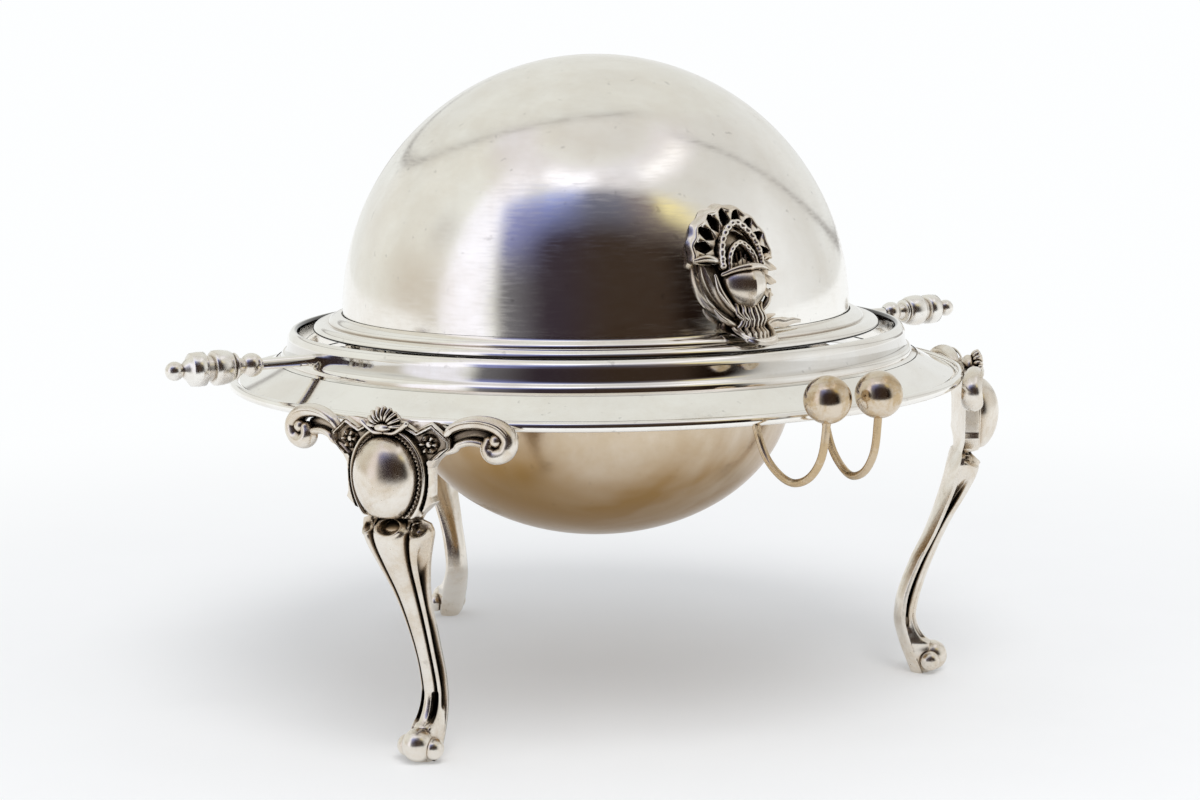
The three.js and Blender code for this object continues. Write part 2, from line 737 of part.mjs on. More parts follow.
// Assembly. Everything round the dish's axis sits in one group, set so that the origin
// is midway between the knife rests' front and the back leg's boss.
const frontReach = restBallReach + restBallRadius;
const backReach = plateFront + ovalBulge;
const dish = new THREE.Group();
dish.position.set(0, (frontReach - backReach) / 2, lidCentreHeight);

dish.add(piece('lid_shell', lidShell(), satinSilver));
dish.add(piece('lid_moulding', lidMoulding(), silver));
dish.add(piece('lid_thumbpiece', thumbpiece(), castSilver));
dish.add(piece('collar', collar(), silver));
dish.add(piece('sloping_ring', slopingRing(), silver));
dish.add(piece('edge_wire', edgeWire(), silver));
dish.add(piece('lid_stop', lidStop(), castSilver));
dish.add(piece('bowl', bowlBody(), wornSilver));
dish.add(piece('drainer', drainer(), silver));
dish.add(piece('glass_liner', liner(), glass));

for (const [word, side] of [['left', -1], ['right', 1]]) {
  dish.add(piece(`lid_lug_${word}`, lidLug(side), castSilver));
  dish.add(piece(`pivot_shaft_${word}`, pivotShaft(side), silver));
  dish.add(piece(`pivot_nut_${word}`, pivotNut(side), silver));
  const outerSpacer = pivotSpacer(side, lugOuter + runningGap, collarFace);
  const innerSpacer = pivotSpacer(side, earOuter + solderGap, lugInner - runningGap);
  dish.add(piece(`outer_spacer_${word}`, outerSpacer, silver));
  dish.add(piece(`inner_spacer_${word}`, innerSpacer, silver));
  dish.add(piece(`knob_${word}`, knob(side), castSilver));
  dish.add(piece(`bowl_ear_${word}`, bowlEar(side), silver));
  dish.add(piece(`knife_rest_wire_${word}`, restWire(side), castSilver));
  dish.add(piece(`knife_rest_ball_${word}`, restBall(side), silver));
}

const legPlaces = ['back', 'front_left', 'front_right'];
legPlaces.forEach((place, i) => {
  const mesh = piece(`leg_${place}`, leg(), castSilver);
  mesh.rotation.z = Math.PI / 2 + 2 * Math.PI * i / legCount;
  dish.add(mesh);
});

const group = new THREE.Group();
group.add(dish);
export default group;
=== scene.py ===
"""A plated revolving caviar dish on three cabriole legs, in a pale studio."""

import bmesh
import bpy
import numpy as np
from mathutils import Matrix, Vector


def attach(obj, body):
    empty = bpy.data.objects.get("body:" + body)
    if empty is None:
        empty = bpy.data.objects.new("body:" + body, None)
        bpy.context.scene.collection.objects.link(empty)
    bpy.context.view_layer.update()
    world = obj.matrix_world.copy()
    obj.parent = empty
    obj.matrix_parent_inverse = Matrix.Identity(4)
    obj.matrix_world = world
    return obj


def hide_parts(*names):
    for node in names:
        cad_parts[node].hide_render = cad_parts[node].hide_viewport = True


bl_info = {
    "name": "Revolving Caviar Dish",
    "version": (1, 0, 0),
    "blender": (4, 5, 0),
    "location": "View3D > Sidebar > Caviar Dish",
    "description": "Builds the visible pieces of a revolving caviar dish and its studio",
    "category": "Add Mesh",
}

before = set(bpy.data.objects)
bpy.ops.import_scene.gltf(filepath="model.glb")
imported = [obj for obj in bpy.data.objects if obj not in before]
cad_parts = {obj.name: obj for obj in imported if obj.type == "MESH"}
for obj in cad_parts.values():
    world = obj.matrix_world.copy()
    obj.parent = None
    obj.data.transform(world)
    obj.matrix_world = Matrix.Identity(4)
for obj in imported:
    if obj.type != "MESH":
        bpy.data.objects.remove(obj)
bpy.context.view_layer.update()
MM = 0.001

# The dish's axis in the row frame, and the height of the lid's centre, in millimetres
AXIS_Y = 4.9793
LID_HEIGHT = 90.0

# Sizes in millimetres, measured from the lid's centre and, but for the last, shared with the CAD model
LID_RADIUS = 60.0
LID_WALL = 0.9
PIVOT_DROP = 6.8
COLLAR_INNER = 70.6
COLLAR_FOOT = 75.8
COLLAR_TOP = -3.3
RING_TOP = -10.3
RING_EDGE = 84.391
RING_EDGE_Z = -14.583
EDGE_WIRE_REACH = 85.841
PLATE_BACK = 87.391
KNOB_START = 86.0
PASSING_REACH = 69.6

# Degrees about the dish's axis: the camera's place left of the front, and the legs' places from +X
CAMERA_TURN = -31.2
LEG_TURNS = {"leg_back": 90.0, "leg_front_left": 210.0, "leg_front_right": 330.0}

SIDES = (("left", -1), ("right", 1))
ROUND = 256
TUBE_CAP_ROWS = 6
WHITE = (0.985, 0.995, 1.0, 1)


# Curves and arrays


def full_turn(count):
    """Evenly spaced angles of a full turn, in radians."""
    return np.linspace(0, 2 * np.pi, count, endpoint=False)


def unit(vectors):
    """Each vector over its length."""
    return vectors / np.linalg.norm(vectors, axis=1, keepdims=True)


def distances(points):
    """How far each point of a path is from the first, along the path."""
    return np.concatenate(([0.0], np.cumsum(np.linalg.norm(np.diff(points, axis=0), axis=1))))


def polar(radius, angle, height):
    """Points at a radius and an angle about the vertical axis, at a height."""
    return np.stack(np.broadcast_arrays(radius * np.cos(angle), radius * np.sin(angle), height), axis=-1)


def arc(x, y, radius_x, radius_y, start, end, steps):
    """Points of an elliptic arc: centre plus radius times cosine and sine, from start to end degrees."""
    angle = np.radians(np.linspace(start, end, steps + 1))
    return np.column_stack((x + radius_x * np.cos(angle), y + radius_y * np.sin(angle)))


def along(stations, place):
    """Smooth values through stations of place and value: cubic Hermite with central slopes."""
    table = np.asarray(stations, float)
    x, y = table[:, 0], table[:, 1:]
    slope = np.empty_like(y)
    slope[1:-1] = (y[2:] - y[:-2]) / (x[2:] - x[:-2])[:, None]
    slope[0] = (y[1] - y[0]) / (x[1] - x[0])
    slope[-1] = (y[-1] - y[-2]) / (x[-1] - x[-2])
    flat = np.clip(np.asarray(place, float), x[0], x[-1])
    i = np.clip(np.searchsorted(x, flat, side="right") - 1, 0, len(x) - 2)
    width = (x[i + 1] - x[i])[..., None]
    t = ((flat - x[i]) / width[..., 0])[..., None]
    value = y[i] + (y[i + 1] - y[i]) * t * t * (3 - 2 * t)
    value = value + slope[i] * width * t * (1 - t) ** 2 - slope[i + 1] * width * t * t * (1 - t)
    return value[..., 0] if table.shape[1] == 2 else value


def smooth_path(points, count):
    """A curve through points, spaced evenly by length: cubic Hermite over the chord lengths."""
    chord = distances(points)
    fine = along(np.column_stack((chord, points)), np.linspace(0, chord[-1], count * 6))
    length = distances(fine)
    even = np.linspace(0, length[-1], count)
    return np.column_stack([np.interp(even, length, column) for column in fine.T])


def ridge(value, width):
    """A bell of height 1: the exponential of minus the square of value over width."""
    return np.exp(-((value / width) ** 2))


def step(value, low, high):
    """0 below low, 1 above high, and a smooth cubic between."""
    t = np.clip((value - low) / (high - low), 0, 1)
    return t * t * (3 - 2 * t)


def window(value, rise_start, rise_end, fall_start, fall_end):
    """1 inside and 0 outside, with a smooth rise and a smooth fall."""
    return step(value, rise_start, rise_end) * (1 - step(value, fall_start, fall_end))


# Surfaces


class Surface:
    """Vertices in millimetres and faces of one or more closed surfaces."""

    def __init__(self):
        self.points = np.empty((0, 3))
        self.faces = []

    def add(self, grid, wrap=False, poles=(False, False)):
        """Adds a grid of rows and columns. Columns always wrap round. Rows wrap if wrap is set,
        and otherwise each end row is a single point where poles says so, or is closed by a fan."""
        rows, columns = grid.shape[:2]
        ids = np.arange(rows * columns).reshape(rows, columns)
        for row, is_pole in zip((0, -1), poles):
            if is_pole:
                ids[row] = ids[row, 0]
        used, ids = np.unique(ids, return_inverse=True)
        flat, ids = grid.reshape(-1, 3)[used], ids.reshape(rows, columns)
        fans = []
        for row, is_pole in zip((0, -1), poles):
            if not wrap and not is_pole:
                flat = np.vstack((flat, grid[row].mean(axis=0)))
                fans.append((ids[row], len(flat) - 1, row == 0))
        top = np.roll(ids, -1, axis=0) if wrap else ids[1:]
        low = ids if wrap else ids[:-1]
        a, b = low, np.roll(low, -1, axis=1)
        c, d = np.roll(top, -1, axis=1), top
        quads = np.stack((a, b, c, d), axis=-1).reshape(-1, 4)
        start_tri, end_tri = quads[:, 0] == quads[:, 1], quads[:, 2] == quads[:, 3]
        base = len(self.points)
        self.points = np.vstack((self.points, flat))
        self.faces += (quads[~start_tri & ~end_tri] + base).tolist()
        self.faces += (quads[start_tri][:, [0, 2, 3]] + base).tolist()
        self.faces += (quads[end_tri][:, [0, 1, 2]] + base).tolist()
        for ring, centre, is_first in fans:
            nxt = np.roll(ring, -1)
            middle = np.full_like(ring, centre)
            first, second = (nxt, ring) if is_first else (ring, nxt)
            self.faces += (np.stack((middle, first, second), axis=-1) + base).tolist()
        return self

    def turned(self, degrees):
        """The same surface turned about the dish's axis."""
        angle = np.radians(degrees)
        turn = np.array([[np.cos(angle), np.sin(angle), 0], [-np.sin(angle), np.cos(angle), 0], [0, 0, 1]])
        other = Surface()
        other.points = self.points @ turn
        other.faces = self.faces
        return other


def revolve(profile, segments=ROUND):
    """A profile of radius and height carried round the dish's axis. A profile that starts and ends
    on the axis gives a solid with a pole at each end."""
    grid = polar(profile[:, :1], full_turn(segments), profile[:, 1:])
    on_axis = (profile[0, 0] < 1e-6, profile[-1, 0] < 1e-6)
    return Surface().add(grid, wrap=not any(on_axis), poles=on_axis)


def revolve_along_x(profile, side, segments):
    """A profile of radius and place along X carried round the pivot line, on the side given by its sign."""
    surface = revolve(profile, segments)
    across, up, along_x = surface.points.T
    surface.points = np.column_stack((side * along_x, across, up - PIVOT_DROP))
    return surface


def tube(surface, path, radius, outward, sides=20, flatten=1.0, dent=0.0):
    """Adds a tube with round ends to surface: at each point of the path a circle of the local radius,
    in the plane of the direction that the function outward gives and of the cross product of the path's
    direction with it. flatten is the ratio of the radius along outward to the radius across it. dent
    hollows the outer side between its edges, as a leaf is."""
    path, radius = np.asarray(path, float), np.broadcast_to(radius, len(path)).astype(float)
    tangent = unit(np.gradient(path, axis=0))
    turn = np.linspace(0, np.pi / 2, TUBE_CAP_ROWS + 1)[1:]
    tip_first = path[0] - tangent[0] * radius[0] * np.sin(turn[::-1, None])
    tip_last = path[-1] + tangent[-1] * radius[-1] * np.sin(turn[:, None])
    path = np.vstack((tip_first, path, tip_last))
    radius = np.concatenate((radius[0] * np.cos(turn[::-1]), radius, radius[-1] * np.cos(turn)))
    tangent = np.pad(tangent, ((TUBE_CAP_ROWS, TUBE_CAP_ROWS), (0, 0)), mode="edge")
    out = outward(path)
    out = unit(out - (out * tangent).sum(axis=1, keepdims=True) * tangent)
    across = np.cross(tangent, out)
    angle = full_turn(sides)
    lift = flatten * np.cos(angle) * (1 - dent * np.clip(np.cos(angle), 0, 1))
    ring = lift[:, None] * out[:, None] + np.sin(angle)[:, None] * across[:, None]
    return surface.add(path[:, None] + radius[:, None, None] * ring, poles=(True, True))


def blob(surface, centre, radii, rows=20, columns=28):
    """Adds an ellipsoid: radii times sines and cosines along X, Y and Z, about a centre."""
    tilt = np.linspace(0, np.pi, rows)[:, None]
    ball = polar(np.sin(tilt), full_turn(columns), np.cos(tilt))
    return surface.add(np.asarray(centre) + ball * radii, poles=(True, True))


def add_object(name, data):
    thing = bpy.data.objects.new(name, data)
    bpy.context.scene.collection.objects.link(thing)
    return thing


def make_piece(name, surface, body, finish, nodes, sharp=40.0):
    """Puts a surface into a mesh object in the row frame, with outward faces and smooth shading,
    gives it its finish, ties it to its body and hides the CAD nodes that it stands for."""
    mesh = bpy.data.meshes.new(name)
    points = (surface.points + (0.0, AXIS_Y, LID_HEIGHT)) * MM
    mesh.from_pydata(points.tolist(), [], surface.faces)
    work = bmesh.new()
    work.from_mesh(mesh)
    bmesh.ops.recalc_face_normals(work, faces=work.faces)
    work.to_mesh(mesh)
    work.free()
    mesh.shade_smooth()
    mesh.set_sharp_from_angle(angle=np.radians(sharp))
    piece = add_object(name, mesh)
    mesh.materials.append(bpy.data.materials[finish])
    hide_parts(*nodes)
    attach(piece, body)


def finish_node(name, finish):
    """Gives a CAD node that stays visible its finish."""
    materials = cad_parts[name].data.materials
    materials.clear()
    materials.append(bpy.data.materials[finish])


# Shader maths


class Socket:
    """A node's output socket, which adds a Math node for each operator used on it."""

    def __init__(self, tree, link):
        self.tree = tree
        self.link = link

    def _math(self, operation, *values, clamp=False):
        return self.tree.node("ShaderNodeMath", {"operation": operation, "use_clamp": clamp}, list(values))

    def __add__(self, other):
        return self._math("ADD", self, other)

    __radd__ = __add__

    def __sub__(self, other):
        return self._math("SUBTRACT", self, other)

    def __rsub__(self, other):
        return self._math("SUBTRACT", other, self)

    def __mul__(self, other):
        return self._math("MULTIPLY", self, other)

    __rmul__ = __mul__

    def __pow__(self, other):
        return self._math("POWER", self, other)

    def clamped(self):
        return self._math("ADD", self, 0.0, clamp=True)

    def absolute(self):
        return self._math("ABSOLUTE", self)

    def larger(self, other):
        return self._math("MAXIMUM", self, other)

    def ramp(self, low, high):
        """0 below low and 1 above high, smooth between."""
        values = {"Value": self, "From Min": low, "From Max": high}
        return self.tree.node("ShaderNodeMapRange", {"interpolation_type": "SMOOTHSTEP"}, values)

    def window(self, rise_start, rise_end, fall_start, fall_end):
        """0 outside and 1 inside, with a smooth rise and a smooth fall."""
        return self.ramp(rise_start, rise_end) * (1.0 - self.ramp(fall_start, fall_end))

    def between(self, low, high, soft):
        """1 from low to high and 0 outside, with both ends as soft."""
        return self.window(low - soft, low + soft, high - soft, high + soft)


class NodeTree:
    """Adds nodes to a material's or the world's node tree."""

    def __init__(self, owner):
        owner.use_nodes = True
        self.tree = owner.node_tree
        self.tree.nodes.clear()

    def node(self, kind, settings=None, inputs=None, output=0):
        """One node: its settings are set first, then the values or links of its sockets."""
        node = self.tree.nodes.new(kind)
        for key, value in (settings or {}).items():
            setattr(node, key, value)
        items = inputs.items() if isinstance(inputs, dict) else enumerate(inputs or [])
        for key, value in items:
            if isinstance(value, Socket):
                self.tree.links.new(value.link, node.inputs[key])
            else:
                node.inputs[key].default_value = value
        return Socket(self, node.outputs[output]) if node.outputs else None

    def coordinates(self, scale=(1.0, 1.0, 1.0)):
        """Object coordinates, stretched along each axis."""
        place = self.node("ShaderNodeTexCoord", output=3)
        return self.node("ShaderNodeMapping", None, {"Vector": place, "Scale": scale})

    def split(self, vector):
        """The three numbers of a vector."""
        node = self.node("ShaderNodeSeparateXYZ", None, [vector]).link.node
        return [Socket(self, output) for output in node.outputs]

    def rays(self, *kinds):
        """For each kind of ray, 1 for a ray of that kind and 0 for another."""
        node = self.node("ShaderNodeLightPath").link.node
        return [Socket(self, node.outputs[f"Is {kind} Ray"]) for kind in kinds]

    def noise(self, scale, detail=3.0, rough=0.5, distortion=0.0, where=None):
        values = {"Vector": where or self.coordinates(), "Scale": scale, "Detail": detail}
        return self.node("ShaderNodeTexNoise", None, {**values, "Roughness": rough, "Distortion": distortion})

    def mix(self, factor, first, second):
        """Colour first where factor is 0 and second where it is 1."""
        colours = {"Factor": factor, 6: first, 7: second}
        return self.node("ShaderNodeMix", {"data_type": "RGBA"}, colours, output=2)

    def bump(self, height, strength, distance, normal=None):
        values = {"Height": height, "Strength": strength, "Distance": distance}
        return self.node("ShaderNodeBump", None, {**values, "Normal": normal} if normal else values)

    def crevice(self, distance):
        """1 in a hollow that little light reaches, 0 on open surface."""
        settings = {"samples": 12, "only_local": True}
        return 1.0 - self.node("ShaderNodeAmbientOcclusion", settings, {"Distance": distance}, output=1)

    def close(self, shader):
        self.node("ShaderNodeOutputMaterial", None, {"Surface": shader})


def rgba(colour):
    return (*tuple(colour)[:3], 1.0)


# Zones of the ring that get painted shade, in millimetres: where their radius and height start and end to
# count
SLIT_ZONE = ((66.0, 66.4, 71.1, 71.6), (82.5, 85.0, 86.6, 87.0))
COVE_ZONE = ((72.7, 73.0, 74.0, 74.3), (81.0, 82.2, 84.6, 85.2))
# How strong the lighter painted shade in the collar's cove is
COVE_SHADE = 0.2

FINISHES = {
    "brushed_dome": {"rough": 0.09, "tarnish": 0.24, "brush": 0.1, "cloud_scale": 15.0,
                     "brush_scale": (0.12, 0.12, 1.0), "waves": 0.16, "haze": 0.3},
    # The ring's finish paints shade in the slit between lid and collar and in the collar's cove
    "rubbed_ring": {"rough": 0.07, "tarnish": 0.16, "brush": 0.04, "hollow": 0.85, "cloud_scale": 45.0,
                    "brush_scale": (0.5, 0.5, 1.0), "waves": 0.2, "slit_shade": 0.97},
    # The bowl's brown includes painted shade on its low and left parts, besides its stains
    "clouded_bowl": {"rough": 0.13, "tarnish": 0.3, "base": 0.5, "brush": 0.06, "cloud_scale": 28.0,
                     "brush_scale": (0.4, 0.4, 1.0), "waves": 0.2, "stained_and_shaded": True},
    # Painted shade, brown to near black, in the hollows of the castings, as in those of the ring and the
    # knobs
    "shaded_casting": {"rough": 0.19, "tarnish": 0.4, "base": 0.24, "brush": 0.06, "hollow": 1.0,
                      "cloud_scale": 90.0, "reach": 0.0026},
    "pale_knob": {"rough": 0.2, "tarnish": 0.25, "base": 0.05, "brush": 0.08, "hollow": 0.6,
                  "cloud_scale": 120.0},
    "bright_ball": {"rough": 0.11, "tarnish": 0.6, "base": 0.6, "brush": 0.04, "cloud_scale": 160.0},
    "brown_wire": {"rough": 0.13, "tarnish": 0.7, "base": 0.85, "brush": 0.06, "cloud_scale": 120.0},
}


def silver_finish(name, finish, *, rough, tarnish, brush, cloud_scale, base=0.0, hollow=0.0,
                  brush_scale=(1.0, 1.0, 1.0), waves=0.1, reach=0.0016, haze=0.08, stained_and_shaded=False, slit_shade=0.0):
    """Silver plate: a bright base that tarnish clouds warm and darken, painted shade in the crevices,
    brown and near black, with the tarnish that gathers there, streaky roughness where a cloth has rubbed
    it, and fine scratches and slow waves as bump. stained turns the low and left parts brown: stains at
    random, and painted shade where they mirror the shadowed floor. gap paints shade on what faces the slit
    between lid and collar, and a lighter painted shade in the collar's cove."""
    tree = NodeTree(bpy.data.materials.new(name))
    shade_and_soot, brown = rgba(finish.shade_and_soot), rgba(finish.deep_tarnish_and_shade)
    x, y, height = (place * (1 / MM) for place in tree.split(tree.coordinates()))
    clouds = tree.noise(cloud_scale, 5.0, 0.62, 0.6)
    specks = tree.noise(cloud_scale * 9, 3.0, 0.7)
    streaks = tree.noise(1800.0, 2.0, 0.6, where=tree.coordinates(brush_scale))
    worn = (clouds * 0.8 + specks * 0.2).ramp(0.4, 0.68) * tarnish + base
    colour = tree.mix(worn.clamped(), rgba(finish.silver), rgba(finish.tarnish))
    # Brown stains at random, and painted shade on the low and left parts, standing for the shadowed floor
    # that they mirror
    if stained_and_shaded:
        stain_and_shade = tree.noise(13.0, 4.0, 0.6, 0.8).ramp(0.36, 0.62) * 0.7
        stain_and_shade = stain_and_shade + (1.0 - height.ramp(42, 70)) * 0.9 + (1.0 - x.ramp(-50, -15)) * 0.45
        colour = tree.mix(stain_and_shade.clamped(), colour, brown)
    # Painted shade on what faces the slit between lid and collar, and a lighter painted shade in the collar's
    # cove
    if slit_shade:
        depth = y - AXIS_Y
        radius = (x * x + depth * depth) ** 0.5
        for (radii, heights), strength in ((SLIT_ZONE, slit_shade), (COVE_ZONE, COVE_SHADE)):
            colour = tree.mix(radius.window(*radii) * height.window(*heights) * strength, colour, shade_and_soot)
    pits = tree.noise(420.0, 2.0, 0.5).ramp(0.68, 0.78)
    colour = tree.mix(pits * 0.18, colour, shade_and_soot)
    roughness = rough + streaks.ramp(0.35, 0.75) * brush + worn * haze
    # Painted shade in hollows, found by ambient occlusion: brown where partly closed and near black where
    # deeply closed, with the tarnish that gathers there
    if hollow:
        closed = tree.crevice(reach)
        dark = closed.ramp(0.22, 0.7) * hollow
        colour = tree.mix(closed.ramp(0.05, 0.4) * hollow * 0.6, colour, brown)
        colour = tree.mix(dark.clamped(), colour, shade_and_soot)
        roughness = roughness + dark * 0.3
    scratches = tree.bump(streaks, 0.05, 0.00003)
    normal = tree.bump(tree.noise(26.0, 2.0, 0.5), waves, 0.00035, scratches)
    look = {"Base Color": colour, "Metallic": 1.0, "Roughness": roughness.clamped(), "Normal": normal}
    tree.close(tree.node("ShaderNodeBsdfPrincipled", None, look))


def glass_finish(name, finish):
    """Clear pressed glass with faint ripples."""
    tree = NodeTree(bpy.data.materials.new(name))
    look = {
        "Base Color": rgba(finish.glass),
        "Metallic": 0.0,
        "Roughness": tree.noise(60.0, 3.0, 0.5).ramp(0.5, 0.8) * 0.08 + 0.02,
        "IOR": 1.5,
        "Transmission Weight": 1.0,
        "Normal": tree.bump(tree.noise(120.0, 2.0, 0.5), 0.15, 0.0002),
    }
    tree.close(tree.node("ShaderNodeBsdfPrincipled", None, look))


# Shapes of the pieces


def lid_shell():
    """A half sphere with a short straight skirt: the outer arc, and the inner arc a wall inside it."""
    inner = LID_RADIUS - LID_WALL
    outer_arc = arc(0, 0, LID_RADIUS, LID_RADIUS, 0, 90, 90)
    inner_arc = arc(0, 0, inner, inner, 90, 0, 60)
    skirt = arc((LID_RADIUS + inner) / 2, -3.1, LID_WALL / 2, 0.3, 180, 360, 6)
    return revolve(np.vstack((inner_arc, skirt, outer_arc)))


def lid_moulding():
    """A rounded upper reed, a groove and a broader lower reed that ends upright, turned in underneath."""
    back = LID_RADIUS + 0.3
    lower = [(66.6, -3.7), (66.92, -3.55), (67.0, -3.3), (66.92, -2.95), (66.66, -2.52), (66.2, -2.15),
             (65.5, -1.9), (64.5, -1.78), (63.7, -1.82)]
    upper = [(63.35, -1.75), (63.32, -1.5), (63.0, -1.02), (62.4, -0.55), (61.6, -0.18), (60.9, -0.02),
             (back, 0.05)]
    return revolve(np.vstack(((back, -3.7), smooth_path(lower, 34), smooth_path(upper, 26))))


def collar():
    """A rounded rim, a cove, a thin fillet and a step, with heights from the collar's top."""
    foot = -7.6
    rim = [(COLLAR_INNER, -1.2), (70.75, -0.35), (71.2, -0.02), (71.8, -0.05), (72.3, -0.4), (72.75, -1.0),
           (73.0, -1.55)]
    cove = [(73.02, -1.6), (73.05, -2.6), (73.2, -3.8), (73.5, -4.6), (73.9, -5.1)]
    fillet = [(74.15, -5.1), (74.5, -5.5), (74.65, -5.85), (74.7, -6.5)]
    step_down = [(75.2, -6.75), (COLLAR_FOOT, -7.0), (COLLAR_FOOT, foot)]
    profile = ((COLLAR_INNER, foot), smooth_path(rim, 26), smooth_path(cove, 16), fillet, step_down)
    return revolve(np.vstack(profile) + (0, COLLAR_TOP))


def sloping_ring():
    """A flat slope from the collar's foot to the edge, barely hollowed, over a level seat."""
    inner = COLLAR_FOOT + 0.3
    share = np.linspace(0, 1, 24)[:, None]
    top = np.array([[inner, RING_TOP]]) * (1 - share) + np.array([[RING_EDGE, RING_EDGE_Z]]) * share
    top = top - np.hstack((0 * share, 0.22 * np.sin(np.pi * share)))
    under = np.array([[RING_EDGE, RING_EDGE_Z - 1.1], [77.3, -12.3], [COLLAR_INNER + 0.2, -12.3]])
    seat = np.array([[COLLAR_INNER + 0.2, -11.2], [inner, -11.2]])
    return revolve(np.vstack((top, under, seat)))


def edge_wire():
    """A round wire just outside the slope's edge."""
    return revolve(arc(EDGE_WIRE_REACH, RING_EDGE_Z - 0.55, 1.15, 1.15, 10, 370, 24)[:-1])


def bowl():
    """A half ellipsoid under a short wall, which curls out into a flat brim; the inside is a wall within."""
    well, wall, depth, foot = 46.4, 1.0, 34.2, -19.4
    profile = (
        arc(0, foot, well - wall, depth - wall, -90, 0, 48),
        (well - wall, -13.4),
        arc(well - wall + 3.2, -13.2, 3.2, 2.8, 180, 90, 8),
        arc(57.0, -10.9, 0.3, 0.5, 90, -90, 6),
        arc(well + 3.0, -13.9, 2.9, 2.5, 90, 180, 8),
        arc(0, foot, well, depth, 0, -90, 64),
    )
    return revolve(np.vstack(profile), 224)


def glass_liner():
    """A glass well: half an ellipsoid outside and inside, under a flat rim with a rounded edge."""
    under, wall, well, depth, rim = -10.1, 2.2, 40.0, 22.0, 51.2
    profile = (
        arc(0, under - 0.8, well, depth - 0.8, -90, 0, 48),
        (well + 0.9, under),
        arc(rim - 0.9, under + 0.9, 0.9, 0.9, -90, 90, 12),
        arc(well - wall + 1.2, under + 0.6, 1.2, 1.2, 90, 170, 6),
        arc(0, under, well - wall, depth - wall, 0, -90, 40),
    )
    return revolve(np.vstack(profile), 160)


def knob(side):
    """A turned knob: an inner bead, a barrel between two rings, a cone and a small ball at the tip."""
    profile = (
        [(0.0, 4), (1.4, 4), (1.4, 0.3)],
        arc(0, 2.6, 2.65, 2.6, -55, 52, 14),
        [(1.75, 5.5), (2.0, 6.0)],
        arc(2.0, 6.6, 1.0, 0.6, -70, 70, 6),
        [(3.2, 7.4), (3.6, 8.2), (3.85, 9.6), (3.9, 10.8), (3.8, 11.6), (3.5, 11.9), (2.75, 12.1)],
        [(2.75, 13.4), (3.4, 13.6), (3.75, 13.9), (3.8, 15.3), (3.65, 16.8), (3.3, 17.1), (2.85, 17.3)],
        [(2.3, 17.9), (1.3, 18.9)],
        arc(0, 20.5, 2.1, 2.1, -51, 90, 16),
    )
    return revolve_along_x(np.vstack(profile) + (0, KNOB_START), side, 64)


def pivot_shaft(side):
    """A plain round shaft with a small chamfer at its inner end."""
    profile = np.array([(0.0, 51.8), (1.0, 51.8), (1.3, 52.1), (1.3, 70.0), (1.3, 89.7), (0.0, 89.7)])
    return revolve_along_x(profile, side, 40)


# The leg: heights above the table and distances out from the cartouche's back, in millimetres

LEG_FRONT = [
    (0, -6.8), (2.2, -5.4), (4.6, -5.1), (7.2, -6.9), (10.5, -9.3), (14, -10.3), (18, -9.7), (24, -7.9),
    (32, -4.7), (38, -1.8), (45, 2.2), (49.4, 4.2), (52.2, 4.3), (54.4, 2.3), (56, 2.8), (80, 2.8),
]
LEG_BACK = [
    (0, -9.8), (3, -11), (7, -12.5), (12, -13.9), (15, -14), (20, -13.2), (28, -10.2), (35, -6.8),
    (45, -3), (52, -1), (58, 0), (80, 0),
]
LEG_WIDTH = [
    (0, 2.8), (1.5, 3.6), (4.6, 3.9), (8, 4.0), (12, 3.8), (16, 3.6), (23, 3.5), (31, 4.1), (38, 5),
    (45, 6.6), (50, 8.2), (52.2, 8.8), (54, 8.3),
]
PLATE_WIDTH = [
    (54, 8.3), (54.8, 6.4), (56, 7.2), (58.9, 10.5), (60.2, 10.0), (66.2, 10.2), (67.6, 11.1),
    (70.5, 14.4), (80, 14.4),
]
PLATE_TOP = [(0, 76), (0.28, 75.6), (0.48, 74.1), (0.71, 75.8), (0.97, 72.8), (1, 72.2)]
PLATE_START = 54.0
PLATE_TOP_START = 70.5
BOSS = {"height": 64.2, "half_width": 7.2, "above": 8.3, "below": 9.7, "platform": 1.3}
ROSETTE = {"across": 9.5, "height": 71.1, "radius": 2.2}
LEG_STRETCH = (LID_HEIGHT + RING_EDGE_Z) / 75.4


def on_ring(across, height, out):
    """A point of a leg that stands along +X: across is measured round the ring's edge."""
    return polar(PLATE_BACK + out, across / PLATE_BACK, height * LEG_STRETCH - LID_HEIGHT)


def shank_relief(share, height):
    """Three lobes with valleys between them; above the foot each valley opens into a square-topped
    notch, and a roll lies under the notches."""
    far = np.abs(share)
    side = np.clip(far - 0.5, 0, 0.5) / 0.5
    crown = np.where(far < 0.5, -0.9 * (far / 0.5) ** 2, 0.9 * np.sin(np.pi * side) - 4.4 * side**1.4 - 0.9)
    groove = (0.9 * ridge(far - 0.5, 0.11) + 0.8 * ridge(far - 0.5, 0.05)) * step(height, 7, 11)
    rounded_edge = 0.5 * np.clip((far - 0.88) / 0.12, 0, 1) ** 2
    notch = 2.2 * window(height, 8.2, 9.0, 13.9, 14.6) * (1 - step(np.abs(far - 0.46), 0.14, 0.22))
    roll = 0.6 * ridge(height - 7.6, 0.8)
    return crown - groove - rounded_edge - notch + roll


